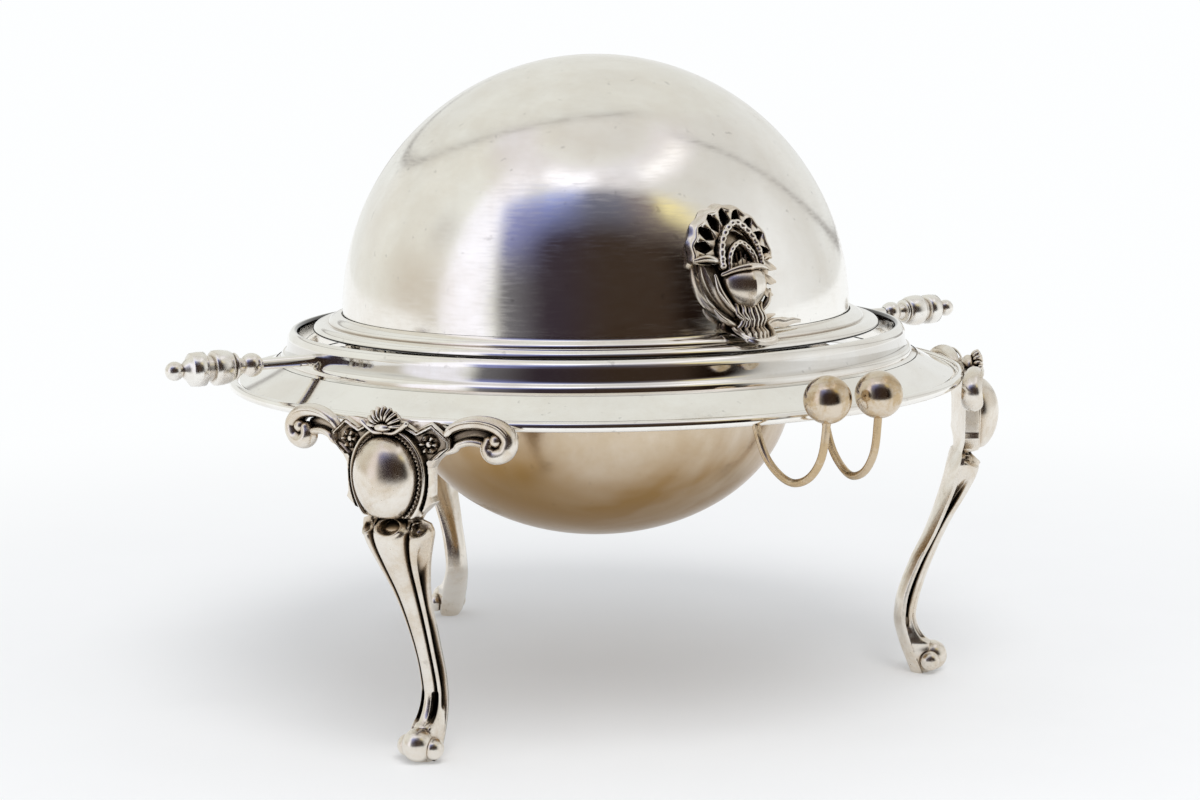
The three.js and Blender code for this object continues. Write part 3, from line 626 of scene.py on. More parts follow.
def cartouche_relief(sizes, across, height, inset):
    """An oval boss on a raised platform inside a rope of beads and a smooth strip; round them a sunk
    field with a raised border, and a rosette at each side. inset is the distance from the outline."""
    up = height - BOSS["height"]
    reach = np.where(up > 0, BOSS["above"], BOSS["below"])
    rho = np.hypot(across / BOSS["half_width"], up / reach)
    turn = np.arctan2(up / reach, across / BOSS["half_width"])
    oval = sizes.boss_bulge / MM * np.clip(1 - rho**2, 0, 1) ** 0.52
    beads = 0.62 + 0.38 * np.cos(sizes.rope_beads * turn)
    rope = 0.7 * ridge(rho - 1.06, 0.036) * beads - 0.2 * ridge(rho - 1.12, 0.016)
    strip = 0.55 * ridge(rho - 1.19, 0.055)
    platform = (BOSS["platform"] + np.where(rho < 1, oval, rope + strip)) * (1 - step(rho, 1.22, 1.31))
    width = np.where(height < 68, 1.75, 0.95)
    border = 1.35 * window(inset, -0.1, 0.35, width, width + 0.3)
    border = border * step(rho, 1.31, 1.335) * step(height, 54.2, 55.4)
    border = border - 0.45 * ridge(inset - width * 0.5, 0.18) * step(height, 68, 69)
    petal_u, petal_v = np.abs(across) - ROSETTE["across"], height - ROSETTE["height"]
    petal, spin = np.hypot(petal_u, petal_v), np.arctan2(petal_v, petal_u)
    disc = 1.5 * (1 - step(petal, ROSETTE["radius"] - 0.45, ROSETTE["radius"]))
    petals = 0.6 + 0.4 * np.cos(6 * spin) * step(petal, 0.5, 0.9)
    rosette = disc * petals - 0.7 * ridge(petal - 0.8, 0.16)
    platform = platform * step(height, 54.7, 55.5)
    return np.maximum(np.maximum(platform, border), rosette) - 0.9


def leg_relief(sizes, share, across, height, inset):
    """The shank below, the cartouche above. Where they meet each lobe ends in a round cup between two
    knuckles."""
    far = np.abs(across)
    lip = 54.5 - 1.8 * ridge(far - 4.1, 0.45) - 1.4 * step(far, 7.6, 8.8)
    blend = step(height, lip - 0.3, lip + 0.7)
    front_cup = np.hypot(across / 2.5, (height - 53.2) / 1.5)
    side_cup = np.hypot((far - 6.2) / 1.5, (height - 52.8) / 1.3)
    cup = 2.1 * (1 - step(np.minimum(front_cup, side_cup), 0.7, 1.05))
    rim = 0.35 * ridge(np.minimum(front_cup, side_cup) - 1.2, 0.16) * (1 - blend)
    shank, cartouche = shank_relief(share, height), cartouche_relief(sizes, across, height, inset)
    return shank * (1 - blend) + cartouche * blend - cup + rim


def leg_body(sizes):
    """Rings from the table upwards: front points stand out by the relief, back points follow the back
    line. Above the last level ring the rows rise in shares towards the cartouche's pointed top."""
    levels = np.concatenate((np.linspace(0, 50, 150), np.linspace(50.25, PLATE_TOP_START, 140)))
    lifts = np.linspace(0, 1, 36)[1:]
    level = np.concatenate((levels, np.full(lifts.shape, PLATE_TOP_START)))[:, None]
    lift = np.concatenate((np.zeros(levels.shape), lifts))[:, None]
    plate_top, plate = np.transpose(PLATE_TOP), np.transpose(PLATE_WIDTH)

    def place(share):
        top = np.interp(np.abs(share), *plate_top)
        height = level + lift * (top - level)
        half = np.where(height > PLATE_START, np.interp(height, *plate), along(LEG_WIDTH, height))
        return share * half, height, np.minimum(half * (1 - np.abs(share)), (top - height) * 0.8)

    share = np.linspace(-1, 1, 171)[None, :]
    across, height, inset = place(share)
    relief = leg_relief(sizes, share, across, height, inset)
    front = np.maximum(along(LEG_FRONT, height) + relief, along(LEG_BACK, height) + 0.8)
    channel = ridge(np.abs(share) - 0.88, 0.06) * window(height, 10, 14, 44, 51)
    front_points = on_ring(across - 2.2 * np.sign(share) * channel, height, front)
    share = np.linspace(1, -1, 25)[None, :]
    across, height, _ = place(share)
    rounding = 1.7 * (1 - share**2) * (1 - step(height, 50, 58))
    back_points = on_ring(across, height, along(LEG_BACK, height) - rounding)
    return np.concatenate((front_points, back_points), axis=1)


def leg_outward(path):
    """The direction away from the dish's axis, level."""
    return unit(path * (1.0, 1.0, 0.0))


def leg(sizes):
    """The lofted leg with its curled arms, fan crest, toes and the ball under the crest."""
    surface = Surface().add(leg_body(sizes))
    for side in (-1, 1):

        def arm(points, count, out, radius, **options):
            path = smooth_path(points, count) * (side, 1)
            tube(surface, on_ring(*path.T, out), radius, leg_outward, **options)
            return path

        scroll = arm(
            [(13.2, 73.2), (14.6, 74.6), (17.2, 75.7), (20.8, 76.0), (24.4, 75.0), (26.4, 72.7), (25.6, 70.1),
             (23.3, 69.3), (22.0, 70.6), (22.4, 72.2)], 90, 2.0,
            np.interp(np.linspace(0, 1, 90), (0, 0.2, 0.45, 0.7, 0.9, 1), (0.8, 1.25, 1.6, 2.0, 1.75, 1.3)),
            sides=28, flatten=1.3,
        )
        crease = scroll[4:58] + (0, 0.5)
        tube(surface, on_ring(*crease.T, 3.9), np.linspace(0.2, 0.5, 54), leg_outward, sides=12)
        blob(surface, on_ring(side * 23.9, 72.4, 2.6), (1.5, 1.5, 1.5))
        strand = [(10.0, 67.7), (12.0, 69.3), (14.8, 70.3), (15.6, 71.2), (18.2, 71.9), (21.0, 71.4),
                  (22.4, 69.9)]
        arm(strand, 60, 1.5, np.linspace(0.7, 0.95, 60), flatten=1.5)
        web = [(12.8, 71.2), (15.6, 72.6), (19.0, 73.6), (22.0, 73.0)]
        arm(web, 40, 0.7, np.linspace(1.6, 1.2, 40), flatten=0.4)
        crest_lip = [(0.3, 73.2), (2.2, 73.2), (3.8, 74.2), (5.2, 75.3)]
        arm(crest_lip, 30, 3.9, np.linspace(0.45, 0.6, 30), sides=12)
        blob(surface, on_ring(side * 3.7, 3.3, -7.3), (2.4, 2.1, 2.4), rows=28, columns=36)
    blob(surface, on_ring(0.0, 4.0, -6.4), (3.7, 3.4, 3.7), rows=36, columns=48)
    share = np.linspace(0, 1, 22)
    reach, out = 1.0 + 2.5 * share, 3.4 + 0.9 * np.sin(np.linspace(0.3, np.pi, 22))
    for angle in np.radians(np.linspace(4, 176, sizes.crest_ribs)):
        rib = on_ring(reach * np.cos(angle), 74.5 + reach * np.sin(angle), out)
        tube(surface, rib, 0.18 + 0.4 * share**0.8, leg_outward, sides=12, flatten=1.9)
    blob(surface, on_ring(0.0, 74.6, 1.7), (1.7, 3.3, 3.0))
    blob(surface, on_ring(0.0, 74.3, 4.2), (1.1, 2.1, 0.95))
    return surface


# The thumbpiece: heights above the lid's centre and distances round the lid, in millimetres

THUMB_FAN = {"across": -1.5, "up": 17.2, "radius": 10.3, "lower": 4.4}
THUMB_WIDTH = [(-1.1, 1.6), (0.2, 4.0), (1.6, 4.2), (3.4, 3.0), (6, 4.2), (8, 6.4), (13.6, 9.6), (16.5, 9.4)]
THUMB_FOOT = [(-1.1, 6.1), (-0.8, 5.2), (-0.4, 4.2), (0.1, 3.3), (0.5, 1.9), (1.1, 0.3)]


def thumb_back(up):
    """The thumbpiece's back: just off the lid, and stepped out over the moulding at its foot."""
    over_lid = np.sqrt(LID_RADIUS**2 - np.maximum(up, 0) ** 2) + 0.3
    return np.where(up < 1.1, LID_RADIUS + along(THUMB_FOOT, np.minimum(up, 1.1)), over_lid)


def on_lid(across, up, out):
    """A point over the lid's front: across is measured round the lid, and out from the thumbpiece's back.
    It stays inside the reach that passes through the collar."""
    back = thumb_back(up)
    room = np.sqrt(PASSING_REACH**2 - (up + PIVOT_DROP) ** 2) - back
    return polar(back + np.minimum(out, room), across / LID_RADIUS - np.pi / 2, up)


def lid_outward(path):
    """The direction away from the lid's centre."""
    return unit(path)


def thumb_plate():
    """A thin backing under the bud, the leaves and the strands."""
    up = np.linspace(-1.1, 16.5, 90)[:, None]
    half = along(THUMB_WIDTH, up)
    share = np.linspace(-1, 1, 61)[None, :]
    relief = 0.9 - 0.3 * np.clip((np.abs(share) - 0.85) / 0.15, 0, 1) ** 2
    front = on_lid(share * half - 0.5, up, relief)
    back_share = np.linspace(1, -1, 21)[None, :]
    back = on_lid(back_share * half - 0.5, up, 0.0)
    return np.concatenate((front, back), axis=1)


def thumb_fan(flutes):
    """The fan as rings about its centre: a smooth rim, pointed hollows between the ribs, and a sunk
    middle. Its reach falls away below, where the bud and the leaves are."""
    turn = full_turn(24 * flutes)
    share = np.linspace(0, 1, 96)[:, None]
    upper = step(np.sin(turn), -0.5, -0.12)
    rim = THUMB_FAN["lower"] + (THUMB_FAN["radius"] - THUMB_FAN["lower"]) * upper
    rim = rim * (1 + 0.02 * np.cos(flutes * turn) * upper)
    beside = np.abs((turn * flutes / (2 * np.pi) + 0.5) % 1 - 0.5) / 0.46
    diamond = 1 - (np.abs(share - 0.7) / 0.23) ** 1.2 - beside**1.3
    ribs = 0.35 * np.cos(flutes * turn + np.pi) * ridge(share - 0.72, 0.16)
    front = 2.5 + 0.45 * ridge(share - 0.93, 0.05) + (ribs - 2.2 * step(diamond, 0.0, 0.4)) * upper
    front = front - 1.6 * (1 - step(share, 0.42, 0.47)) - 1.3 * np.clip((share - 0.965) / 0.035, 0, 1) ** 2
    edge = np.linspace(1, 0, 10)[:, None]
    reach = np.vstack((share * rim, edge * rim))
    out = np.vstack((np.maximum(front, 0.35), 0 * edge * rim))
    return on_lid(THUMB_FAN["across"] + reach * np.cos(turn), THUMB_FAN["up"] + reach * np.sin(turn), out)


def thumb_bud():
    """The bud: flattened rings whose half width swells fast from the top and narrows to the bottom."""
    share = np.linspace(0, 1, 40)[:, None]
    angle = full_turn(56)
    half = 5.4 * np.sin(np.pi * share**0.7) ** 0.6
    half[[0, -1]] = 0
    keel = (0.42 * np.sin(angle) + 0.4 * (1 - np.abs(np.cos(angle))) * np.sign(np.sin(angle))) * half
    return on_lid(0.6 + half * np.cos(angle), 14.9 - 10.6 * share, np.maximum(2.2 + keel, 0.3))


# Leaves of the thumbpiece: points, how far out they lie, thickness at the ends and added in the middle
LEAVES = (
    ([(-6.9, 12.8), (-6.2, 9.6), (-4.4, 6.6), (-2.4, 4.4)], 2.9, 0.25, 0.55, {"flatten": 1.2}),
    ([(-7.4, 5.4), (-5.8, 3.6), (-3.6, 2.2), (-1.6, 0.8)], 2.6, 0.25, 0.5, {"flatten": 1.2}),
    ([(6.4, 9.0), (5.4, 6.6), (3.4, 4.4)], 2.9, 0.25, 0.5, {"flatten": 1.2}),
    ([(-11.2, 16.0), (-8.2, 16.3), (-5.0, 15.4)], 2.5, 0.4, 0.6, {"flatten": 1.3}),
    ([(8.2, 15.8), (6.8, 16.1), (5.0, 15.2)], 2.5, 0.3, 0.5, {"flatten": 1.3}),
    ([(5.0, 15.6), (6.7, 14.0), (8.4, 13.4)], 3.3, 0.15, 0.75, {"sides": 20, "dent": 1.0}),
    ([(4.9, 12.4), (6.35, 11.0), (7.8, 10.6)], 3.3, 0.15, 0.75, {"sides": 20, "dent": 1.0}),
    ([(4.4, 9.6), (5.5, 8.25), (6.6, 7.9)], 3.3, 0.15, 0.75, {"sides": 20, "dent": 1.0}),
    ([(2.2, 2.6), (4.2, 2.1), (6.2, 3.0), (8.4, 3.4)], 1.6, 0.15, 0.55, {"dent": 0.8}),
)


def thumbpiece(sizes):
    """The backing with the fan, two pointed arches, the bud, leaves, strands and a tail laid over it."""
    surface = Surface().add(thumb_plate())
    surface.add(thumb_fan(sizes.fan_flutes), poles=(True, True))
    surface.add(thumb_bud(), poles=(True, True))

    def lay(points, count, out, radius, sides=16, **options):
        path = smooth_path(points, count)
        tube(surface, on_lid(*path.T, out), radius, lid_outward, sides=sides, **options)

    def spread(places, values, count):
        return np.interp(np.linspace(places[0], places[-1], count), places, values)

    outer = [(-5.0, 14.6), (-4.9, 17.4), (-4.0, 20.4), (-2.2, 22.6), (-0.2, 23.6), (1.8, 22.5), (3.6, 20.2),
             (4.5, 17.4), (4.7, 14.6)]
    lay(outer, 170, 3.0, 0.84 + 0.07 * np.cos(np.linspace(0, 30 * np.pi, 170)), flatten=1.5)
    inner = [(-3.6, 13.6), (-3.3, 16.2), (-2.1, 18.3), (-0.2, 19.4), (1.6, 18.4), (2.9, 16.4), (3.3, 13.6)]
    lay(inner, 110, 3.1, 0.7 + 0.03 * np.cos(np.linspace(0, 24 * np.pi, 110)), sides=14, flatten=1.6)
    for across in (-1.8, -0.8, 0.4, 1.5):
        lay([(across, 13.5), (across, 17.6 - abs(across) * 0.7)], 14, 2.0, 0.3, sides=10, flatten=2.0)
    lip = np.linspace(-1, 1, 7)
    lip_points = np.column_stack((0.3 + 5.6 * lip, 13.3 + 1.2 * (1 - lip**2) + 0.4 * lip))
    lay(lip_points, 60, spread((-1, 0, 1), (3.2, 5.6, 3.2), 60), spread((-1, 0, 1), (0.45, 0.85, 0.45), 60))
    fade = np.sin(np.linspace(0.12, np.pi - 0.2, 50))
    main_leaf = [(-9.6, 15.0), (-9.2, 12.4), (-8.0, 9.2), (-6.0, 6.4), (-3.2, 3.8)]
    lay(main_leaf, 50, 2.1, 0.3 + 1.25 * fade**0.8, sides=24, flatten=1.2, dent=1.15)
    for points, out, end, middle, options in LEAVES:
        lay(points, 50, out, end + middle * fade, **options)
    up = np.linspace(6.2, -0.9, 56)
    middle = np.interp(up, (-0.9, 1.2, 3.0, 4.6, 6.2), (-0.4, 0.5, 1.2, 0.5, 0.6))
    for place in np.linspace(-1, 1, 6):
        across = middle + place * np.interp(up, (-0.9, 1.4, 3.4, 6.2), (2.3, 3.0, 2.5, 3.3))
        wave = 0.25 * np.sin(up * 1.6 + place * 2)
        out = np.interp(up, (-0.9, 1.2, 3.6, 7.4), (3.0, 4.3, 4.3, 3.0)) - 0.8 * place**2
        thick = np.interp(up, (-0.9, 3, 7.4), (0.5, 0.68, 0.5))
        tube(surface, on_lid(across + wave, up, out), thick, lid_outward, sides=14, flatten=1.2)
    tail = [(-3.6, 1.4), (-2.8, -0.4), (-0.6, -1.2), (2.0, -1.2), (4.0, -0.2), (5.8, 1.2), (8.2, 1.7),
            (11.0, 1.3), (14.2, 1.5), (17.0, 1.2)]
    lay(tail, 50, spread((0, 0.35, 0.6, 1), (3.2, 4.0, 2.2, 1.0), 50), 0.25 + 0.85 * fade, sides=20,
        flatten=1.1, dent=0.9)
    return surface


def sideways(path):
    """The direction of X at every point."""
    return np.broadcast_to((1.0, 0.0, 0.0), path.shape)


def rest_wire(side):
    """A bent wire: down from under the ring, round outside it and up into the ball."""
    stations = np.array(
        [(78.6, 0.0, 14.33), (79.6, 0.08, 18.33), (82.6, 0.2, 23.78), (87.0, 0.4, 27.08), (91.2, 0.6, 27.98),
         (95.99, 0.78, 25.98), (99.39, 0.92, 21.38), (100.99, 1.0, 13.23)]
    )
    reach, share, drop = stations.T
    path = smooth_path(np.column_stack((side * (9.1 - 2.6 * share), -reach, -drop)), 140)
    return tube(Surface(), path, 0.85, sideways, sides=24)


def rest_ball(sizes, side):
    """A polished ball, drawn in a little at its foot where the wire enters it."""
    radius, centre = sizes.rest_ball_radius / MM, (side * 6.5, -100.991, -9.483)
    surface = blob(Surface(), centre, (radius, radius, radius), rows=64, columns=96)
    offset = surface.points - centre
    low = np.clip(-offset[:, 2] / radius - 0.92, 0, 1)[:, None]
    surface.points = surface.points - offset * (1.0, 1.0, 0.0) * low * 0.6
    return surface


# Settings


def colour_setting(name, description, default):
    return bpy.props.FloatVectorProperty(
        name=name, description=description, subtype="COLOR", default=default, min=0.0, max=1.0
    )


class DishFinish(bpy.types.PropertyGroup):
    """Colours of the dish's finishes."""

    silver: colour_setting("Silver", "Colour of clean silver plate", (0.95, 0.935, 0.895))
    tarnish: colour_setting("Tarnish", "Colour of tarnished plate", (0.58, 0.44, 0.27))
    # Used as the brown of the painted shade in hollows and on the bowl's low and left parts, and for the
    # bowl's stains
    deep_tarnish_and_shade: colour_setting("Deep tarnish", "Colour of heavily tarnished plate", (0.37, 0.225, 0.085))
    # Used as the near black of the painted shade in hollows, at the lid's slit and in the collar's cove, and
    # for the small pits
    shade_and_soot: colour_setting("Crevice", "Colour of the dirt in hollows", (0.012, 0.009, 0.007))
    glass: colour_setting("Glass", "Tint of the liner's glass", (0.97, 0.99, 0.985))


class DishSizes(bpy.types.PropertyGroup):
    """Sizes and counts of the ornament."""

    boss_bulge: bpy.props.FloatProperty(
        name="Boss bulge", description="How far a leg's oval boss stands out of its platform",
        default=0.0058, min=0.001, max=0.007, unit="LENGTH",
    )
    rest_ball_radius: bpy.props.FloatProperty(
        name="Rest ball radius", description="Radius of the balls on the knife rests",
        default=0.00495, min=0.003, max=0.006, unit="LENGTH",
    )
    rope_beads: bpy.props.IntProperty(
        name="Rope beads", description="Beads in the rope round a leg's boss", default=62, min=20, max=90,
    )
    crest_ribs: bpy.props.IntProperty(
        name="Crest ribs", description="Ribs of the fan on top of a leg", default=9, min=3, max=15,
    )
    fan_flutes: bpy.props.IntProperty(
        name="Fan flutes", description="Flutes that fit round a full turn of the thumbpiece's fan",
        default=15, min=8, max=24,
    )


class DishStudio(bpy.types.PropertyGroup):
    """Light and background of the studio."""

    key_watts: bpy.props.FloatProperty(
        name="Key light", description="Power of the large lamp", default=6.0, min=0.0, unit="POWER"
    )
    sky_level: bpy.props.FloatProperty(
        name="Room light", description="Strength of the even light of the room", default=0.7, min=0.0
    )
    floor_colour: colour_setting("Floor", "Colour of the floor", (0.90, 0.91, 0.93))


# The studio

CAMERA_LENS = 72.87
CAMERA_RIGHT = (0.85455, -0.51926, -0.01065)
CAMERA_UP = (0.08397, 0.11788, 0.98947)
CAMERA_BACK = (-0.51254, -0.84645, 0.14434)
CAMERA_PLACE = (-0.29751, -0.49277 + AXIS_Y * MM, 0.15184)
FLOOR_REACH = 6.0
LAMP_PLACE = (-0.22, -0.6, 0.95)
LAMP_AIM = (0.0, 0.0, 0.07)

# The room in mirrors. Panels: lowest and highest azimuth and its softness, the same of the elevation, in
# degrees, strength and colour. Edges: a plane's normal and offset, and how far the edge wavers.
BROWN_PANEL = ((-104, -70, 12), (-8, 16, 8), 0.5, (0.55, 0.46, 0.36, 1))
BRIGHT_PANELS = (
    ((-120, 118, 14), (57, 72, 4), 1.0, (0.84, 0.82, 0.86, 1)),
    ((-44, 0, 10), (60, 68, 3), 1.0, (1.3, 1.3, 1.4, 1)),
    ((42, 100, 10), (59, 66, 3), 1.0, (1.2, 1.18, 1.2, 1)),
    ((-72, -48, 5), (-30, 60, 6), 0.9, (1.15, 1.15, 1.28, 1)),
    ((-90, -76, 5), (22, 34, 6), 0.3, (0.33, 0.31, 0.33, 1)),
)
RIGHT_PANEL = ((72, 112, 14), (-14, 34, 14), 0.7, (0.95, 0.96, 0.97, 1))
OPENING_TOP = ((-0.399, -0.623, -0.673), 0.244, 0.0012)
OPENING_LEFT = ((0.58, -0.813, 0.048), 0.352, 0.003)
REAR_SEAM = ((0.258, 0.637, 0.726), -0.836, 0.001)
RIGHT_SEAM = ((0.476, 0.59, 0.652), -0.736, 0.001)


def towards_camera(x, y):
    """How far a place or a direction lies towards the camera, and how far to its right."""
    turn = np.radians(CAMERA_TURN)
    return x * np.sin(turn) - y * np.cos(turn), x * np.cos(turn) + y * np.sin(turn)


class Room:
    """What mirrors show of the room: a pale tent with brighter panels and two dark folds, open towards
    the camera, where the darker room shows."""

    def __init__(self, tree):
        self.tree = tree
        self.direction = tree.node("ShaderNodeTexCoord", output=0)
        self.x, self.y, self.z = tree.split(self.direction)
        self.bend = tree.noise(2.2, 2.0, 0.5, where=self.direction) * 16 - 8
        ahead, self.side = towards_camera(self.x, self.y)
        azimuth = tree.node("ShaderNodeMath", {"operation": "ARCTAN2"}, [self.side, ahead])
        elevation = tree.node("ShaderNodeMath", {"operation": "ARCSINE"}, [self.z])
        self.azimuth = azimuth * np.degrees(1) + self.bend * 0.35
        self.elevation = elevation * np.degrees(1) + self.bend * 0.5

    def beyond(self, edge):
        """How far a direction lies beyond an edge."""
        (normal_x, normal_y, normal_z), offset, waver = edge
        return self.x * normal_x + self.y * normal_y + self.z * normal_z + offset + self.bend * waver

    def panel(self, tone, azimuths, elevations, strength, colour):
        share = self.azimuth.between(*azimuths) * self.elevation.between(*elevations) * strength
        return self.tree.mix(share, tone, colour)

    def tent(self):
        mix, azimuth, elevation = self.tree.mix, self.azimuth, self.elevation
        tone = mix(self.side.ramp(-0.6, 0.8), (0.85, 0.855, 0.81, 1), (0.71, 0.70, 0.675, 1))
        tone = self.panel(tone, *BROWN_PANEL)
        tone = mix(azimuth.absolute().ramp(105, 150) * (1.0 - elevation.ramp(10, 50)) * 0.6, tone,
                   (0.90, 0.92, 0.92, 1))
        for panel in BRIGHT_PANELS:
            tone = self.panel(tone, *panel)
        rear, right = self.beyond(REAR_SEAM), self.beyond(RIGHT_SEAM)
        tone = mix(elevation.ramp(73, 79) * (1.0 - rear.ramp(-0.01, 0.01)) * 0.2, tone, (0.58, 0.52, 0.53, 1))
        tone = mix(rear.ramp(-0.008, 0.008) * 0.7, tone, (0.80, 0.81, 0.775, 1))
        left_fold = rear.between(-0.014, 0.006, 0.006) * (1.0 - self.x.ramp(0.25, 0.45))
        right_fold = right.between(-0.014, 0.01, 0.008) * self.x.ramp(0.3, 0.42)
        right_fold = right_fold * (1.0 - self.z.ramp(0.86, 0.94))
        tone = mix(left_fold.larger(right_fold) * 0.75, tone, (0.24, 0.22, 0.21, 1))
        tone = self.panel(tone, *RIGHT_PANEL)
        mottle = self.tree.noise(5.0, 4.0, 0.6, where=self.direction).ramp(0.35, 0.65)
        return mix(mottle * 0.16, tone, (0.55, 0.53, 0.50, 1))

    def dusk(self, top, left):
        """The darker room: brown in the middle, near black on the right, blue towards the top and left."""
        mix, azimuth, elevation = self.tree.mix, self.azimuth, self.elevation
        tone = mix(azimuth.ramp(-20, 10), (0.038, 0.027, 0.036, 1), (0.042, 0.026, 0.017, 1))
        tone = mix(azimuth.ramp(28, 44), tone, (0.008, 0.003, 0.001, 1))
        top_glow = mix(azimuth.ramp(-34, 4), (0.24, 0.28, 0.58, 1), (0.15, 0.155, 0.21, 1))
        top_glow = mix(azimuth.ramp(10, 40), top_glow, (0.26, 0.21, 0.19, 1))
        tone = mix(1.0 - top.ramp(0.12, 0.48), tone, top_glow)
        left_glow = mix(elevation.ramp(12, 42), (0.17, 0.165, 0.18, 1), (0.26, 0.28, 0.55, 1))
        tone = mix(1.0 - left.ramp(0.02, 0.42), tone, left_glow)
        blue_lip = (1.0 - top.ramp(0.05, 0.2)) * (1.0 - azimuth.ramp(-18, 0)) * 0.7
        tone = mix(blue_lip, tone, (0.45, 0.53, 0.98, 1))
        yellow_lip = (1.0 - top.ramp(0.14, 0.3)) * azimuth.ramp(34, 46) * 0.85
        return mix(yellow_lip, tone, (1.0, 0.88, 0.45, 1))

    def tone(self):
        top, left = self.beyond(OPENING_TOP), self.beyond(OPENING_LEFT)
        opening = top.ramp(-0.01, 0.1) * left.ramp(-0.05, 0.07) * (1.0 - self.azimuth.ramp(48, 66))
        return self.tree.mix(opening, self.tent(), self.dusk(top, left))


# Operators


class DISH_OT_studio(bpy.types.Operator):
    """Floor, lamps, room and camera"""

    bl_idname = "dish.studio"
    bl_label = "Studio"

    def execute(self, context):
        studio = context.scene.dish_studio
        self.add_camera(context)
        self.add_floor(studio)
        self.add_lamp(studio)
        self.add_world(context, studio)
        context.scene.view_settings.view_transform = "Standard"
        return {"FINISHED"}

    def add_camera(self, context):
        data = bpy.data.cameras.new("photo_camera")
        data.sensor_fit, data.sensor_width, data.lens = "HORIZONTAL", 36.0, CAMERA_LENS
        data.clip_start, data.clip_end = 0.01, 20.0
        camera = add_object("photo_camera", data)
        rows = zip(CAMERA_RIGHT, CAMERA_UP, CAMERA_BACK, CAMERA_PLACE)
        camera.matrix_world = Matrix([*rows, (0, 0, 0, 1)])
        context.scene.camera = camera

    def add_floor(self, studio):
        """A pale floor that keeps the dish's shadow and fades to white. Mirrors see the room past it."""
        mesh = bpy.data.meshes.new("floor")
        corners = [(x * FLOOR_REACH, y * FLOOR_REACH, 0) for x, y in ((-1, -1), (1, -1), (1, 1), (-1, 1))]
        mesh.from_pydata(corners, [], [(0, 1, 2, 3)])
        floor = add_object("floor", mesh)
        material = bpy.data.materials.new("pale_floor")
        tree = NodeTree(material)
        x, y, _ = tree.split(tree.coordinates())
        cloth = tree.noise(14.0, 3.0, 0.6).ramp(0.3, 0.7)
        near, far = rgba(studio.floor_colour), rgba([min(1.0, c * 1.02) for c in studio.floor_colour])
        look = {"Base Color": tree.mix(cloth, near, far), "Roughness": 0.85, "Specular IOR Level": 0.2}
        lit = tree.node("ShaderNodeBsdfPrincipled", None, look)
        white = tree.node("ShaderNodeEmission", None, {"Color": WHITE, "Strength": 1.0})
        glossy, camera, through = tree.rays("Glossy", "Camera", "Transmission")
        faded = ((x * x + y * y) ** 0.5).ramp(0.05, 0.45) * 0.8 + 0.2
        shown = faded * camera.larger(glossy).larger(through)
        surface = tree.node("ShaderNodeMixShader", None, [shown, lit, white])
        ahead, _ = towards_camera(x, y)
        clear = tree.node("ShaderNodeBsdfTransparent")
        tree.close(tree.node("ShaderNodeMixShader", None, [glossy * ahead.ramp(0.26, 0.36), surface, clear]))
        mesh.materials.append(material)

    def add_lamp(self, studio):
        data = bpy.data.lights.new("key_lamp", "AREA")
        data.shape, data.size, data.energy, data.color = "DISK", 0.7, studio.key_watts, (1.0, 0.985, 0.96)
        lamp = add_object("key_lamp", data)
        lamp.location = LAMP_PLACE
        lamp.rotation_euler = (Vector(LAMP_AIM) - lamp.location).to_track_quat("-Z", "Y").to_euler()
        lamp.visible_glossy = False

    def add_world(self, context, studio):
        """White for the camera, the room's tones in mirrors, and even white light on everything else."""
        world = bpy.data.worlds.new("room")
        context.scene.world = world
        tree = NodeTree(world)
        glossy, camera, through = tree.rays("Glossy", "Camera", "Transmission")
        seen = tree.mix(glossy, (0.97, 0.985, 1.0, 1), Room(tree).tone())
        seen = tree.mix(camera.larger(through), seen, WHITE)
        strength = glossy.larger(camera).larger(through) * (1.0 - studio.sky_level) + studio.sky_level
        background = tree.node("ShaderNodeBackground", None, {"Color": seen, "Strength": strength})
        tree.node("ShaderNodeOutputWorld", None, {"Surface": background})


class DISH_OT_finishes(bpy.types.Operator):
    """Silver and glass finishes"""

    bl_idname = "dish.finishes"
    bl_label = "Finishes"

    def execute(self, context):
        finish = context.scene.dish_finish
        for name, settings in FINISHES.items():
            silver_finish(name, finish, **settings)
        glass_finish("pressed_glass", finish)
        return {"FINISHED"}


class DISH_OT_lid(bpy.types.Operator):
    """Domed lid and its foot moulding"""

    bl_idname = "dish.lid"
    bl_label = "Lid"

    def execute(self, context):
        make_piece("lid_dome", lid_shell(), "lid", "brushed_dome", ["lid_shell"])
        make_piece("lid_reeds", lid_moulding(), "lid", "rubbed_ring", ["lid_moulding"])
        return {"FINISHED"}


class DISH_OT_thumbpiece(bpy.types.Operator):
    """Cast shell and leaf thumbpiece"""

    bl_idname = "dish.thumbpiece"
    bl_label = "Thumbpiece"

    def execute(self, context):
        shape = thumbpiece(context.scene.dish_sizes)
        make_piece("thumbpiece", shape, "lid", "shaded_casting", ["lid_thumbpiece"])
        return {"FINISHED"}


class DISH_OT_ring(bpy.types.Operator):
    """Collar, sloping ring and edge wire"""

    bl_idname = "dish.ring"
    bl_label = "Ring"

    def execute(self, context):
        make_piece("ring_collar", collar(), "stand", "rubbed_ring", ["collar"])
        make_piece("ring_slope", sloping_ring(), "stand", "rubbed_ring", ["sloping_ring"],
                   sharp=25)
        make_piece("ring_wire", edge_wire(), "stand", "rubbed_ring", ["edge_wire"])
        return {"FINISHED"}


class DISH_OT_bowl(bpy.types.Operator):
    """Bowl, glass liner and drainer"""

    bl_idname = "dish.bowl"
    bl_label = "Bowl"

    def execute(self, context):
        make_piece("ice_bowl", bowl(), "stand", "clouded_bowl", ["bowl"])
        make_piece("liner_glass", glass_liner(), "liner", "pressed_glass", ["glass_liner"])
        finish_node("drainer", "rubbed_ring")
        return {"FINISHED"}


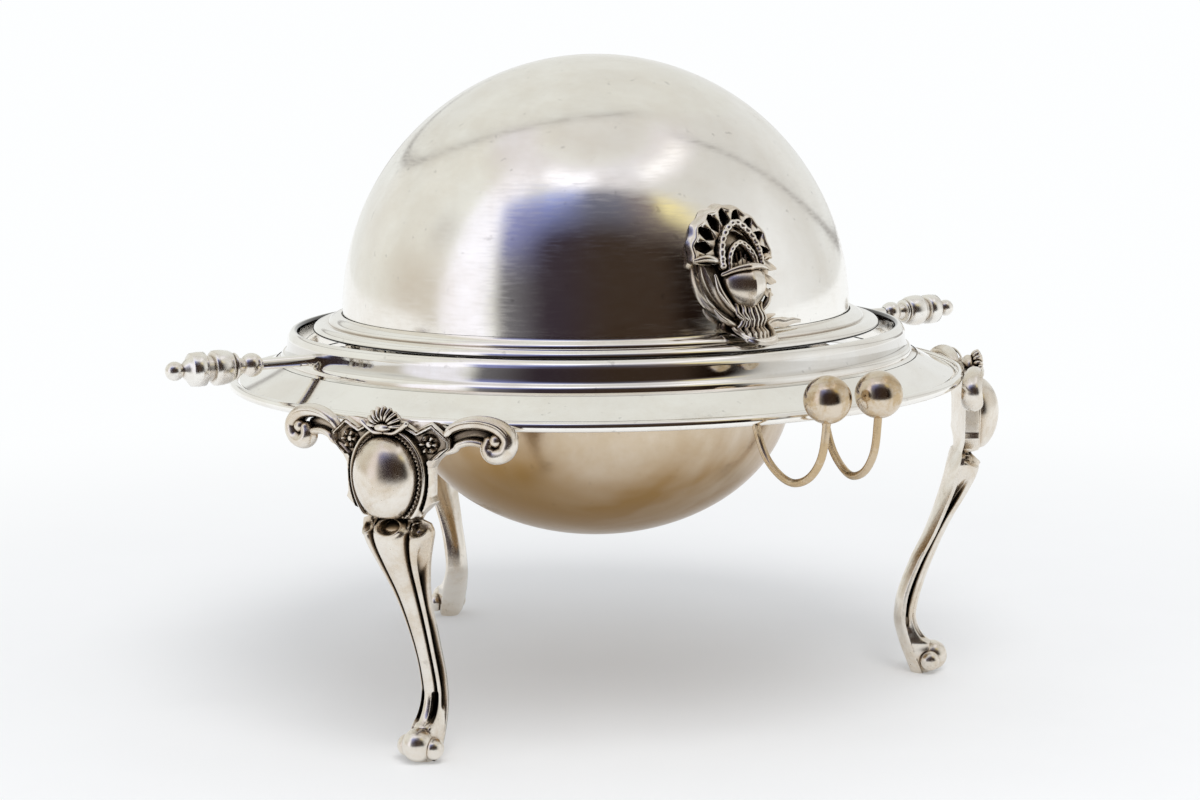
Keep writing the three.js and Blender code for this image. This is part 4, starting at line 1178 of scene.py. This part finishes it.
class DISH_OT_pivots(bpy.types.Operator):
    """Knobs, shafts and the small pieces on them"""

    bl_idname = "dish.pivots"
    bl_label = "Pivots"

    def execute(self, context):
        for word, side in SIDES:
            make_piece(f"turned_knob_{word}", knob(side), "stand", "pale_knob",
                       [f"knob_{word}"], sharp=50)
            make_piece(f"round_shaft_{word}", pivot_shaft(side), "stand", "rubbed_ring",
                       [f"pivot_shaft_{word}"])
            for node in ("pivot_nut", "outer_spacer", "inner_spacer", "bowl_ear"):
                finish_node(f"{node}_{word}", "rubbed_ring")
            finish_node(f"lid_lug_{word}", "shaded_casting")
        finish_node("lid_stop", "shaded_casting")
        return {"FINISHED"}


class DISH_OT_legs(bpy.types.Operator):
    """Three cast cabriole legs"""

    bl_idname = "dish.legs"
    bl_label = "Legs"

    def execute(self, context):
        shape = leg(context.scene.dish_sizes)
        for node, degrees in LEG_TURNS.items():
            make_piece(f"cast_{node}", shape.turned(degrees), "stand", "shaded_casting", [node],
                       sharp=55)
        return {"FINISHED"}


class DISH_OT_rests(bpy.types.Operator):
    """Knife rests: wires and balls"""

    bl_idname = "dish.rests"
    bl_label = "Knife rests"

    def execute(self, context):
        for word, side in SIDES:
            make_piece(f"rest_wire_{word}", rest_wire(side), "stand", "brown_wire",
                       [f"knife_rest_wire_{word}"])
            ball = rest_ball(context.scene.dish_sizes, side)
            make_piece(f"rest_ball_{word}", ball, "stand", "bright_ball",
                       [f"knife_rest_ball_{word}"])
        return {"FINISHED"}


class DISH_PT_sidebar(bpy.types.Panel):
    """Lists the settings and the operators"""

    bl_idname = "DISH_PT_sidebar"
    bl_label = "Caviar Dish"
    bl_space_type = "VIEW_3D"
    bl_region_type = "UI"
    bl_category = "Caviar Dish"

    def draw(self, context):
        for settings in SETTINGS:
            group = getattr(context.scene, settings)
            for name in group.bl_rna.properties.keys():
                if name not in {"rna_type", "name"}:
                    self.layout.prop(group, name)
        for operator in OPERATORS:
            self.layout.operator(operator.bl_idname)


SETTINGS = {"dish_sizes": DishSizes, "dish_finish": DishFinish, "dish_studio": DishStudio}
OPERATORS = (
    DISH_OT_studio,
    DISH_OT_finishes,
    DISH_OT_lid,
    DISH_OT_thumbpiece,
    DISH_OT_ring,
    DISH_OT_bowl,
    DISH_OT_pivots,
    DISH_OT_legs,
    DISH_OT_rests,
)
CLASSES = (*SETTINGS.values(), *OPERATORS, DISH_PT_sidebar)


def register():
    for item in CLASSES:
        bpy.utils.register_class(item)
    for name, group in SETTINGS.items():
        setattr(bpy.types.Scene, name, bpy.props.PointerProperty(type=group))


def unregister():
    for name in SETTINGS:
        delattr(bpy.types.Scene, name)
    for item in reversed(CLASSES):
        bpy.utils.unregister_class(item)


def main():
    register()
    for operator in OPERATORS:
        group, name = operator.bl_idname.split(".")
        getattr(getattr(bpy.ops, group), name)()


if __name__ == "__main__":
    main()
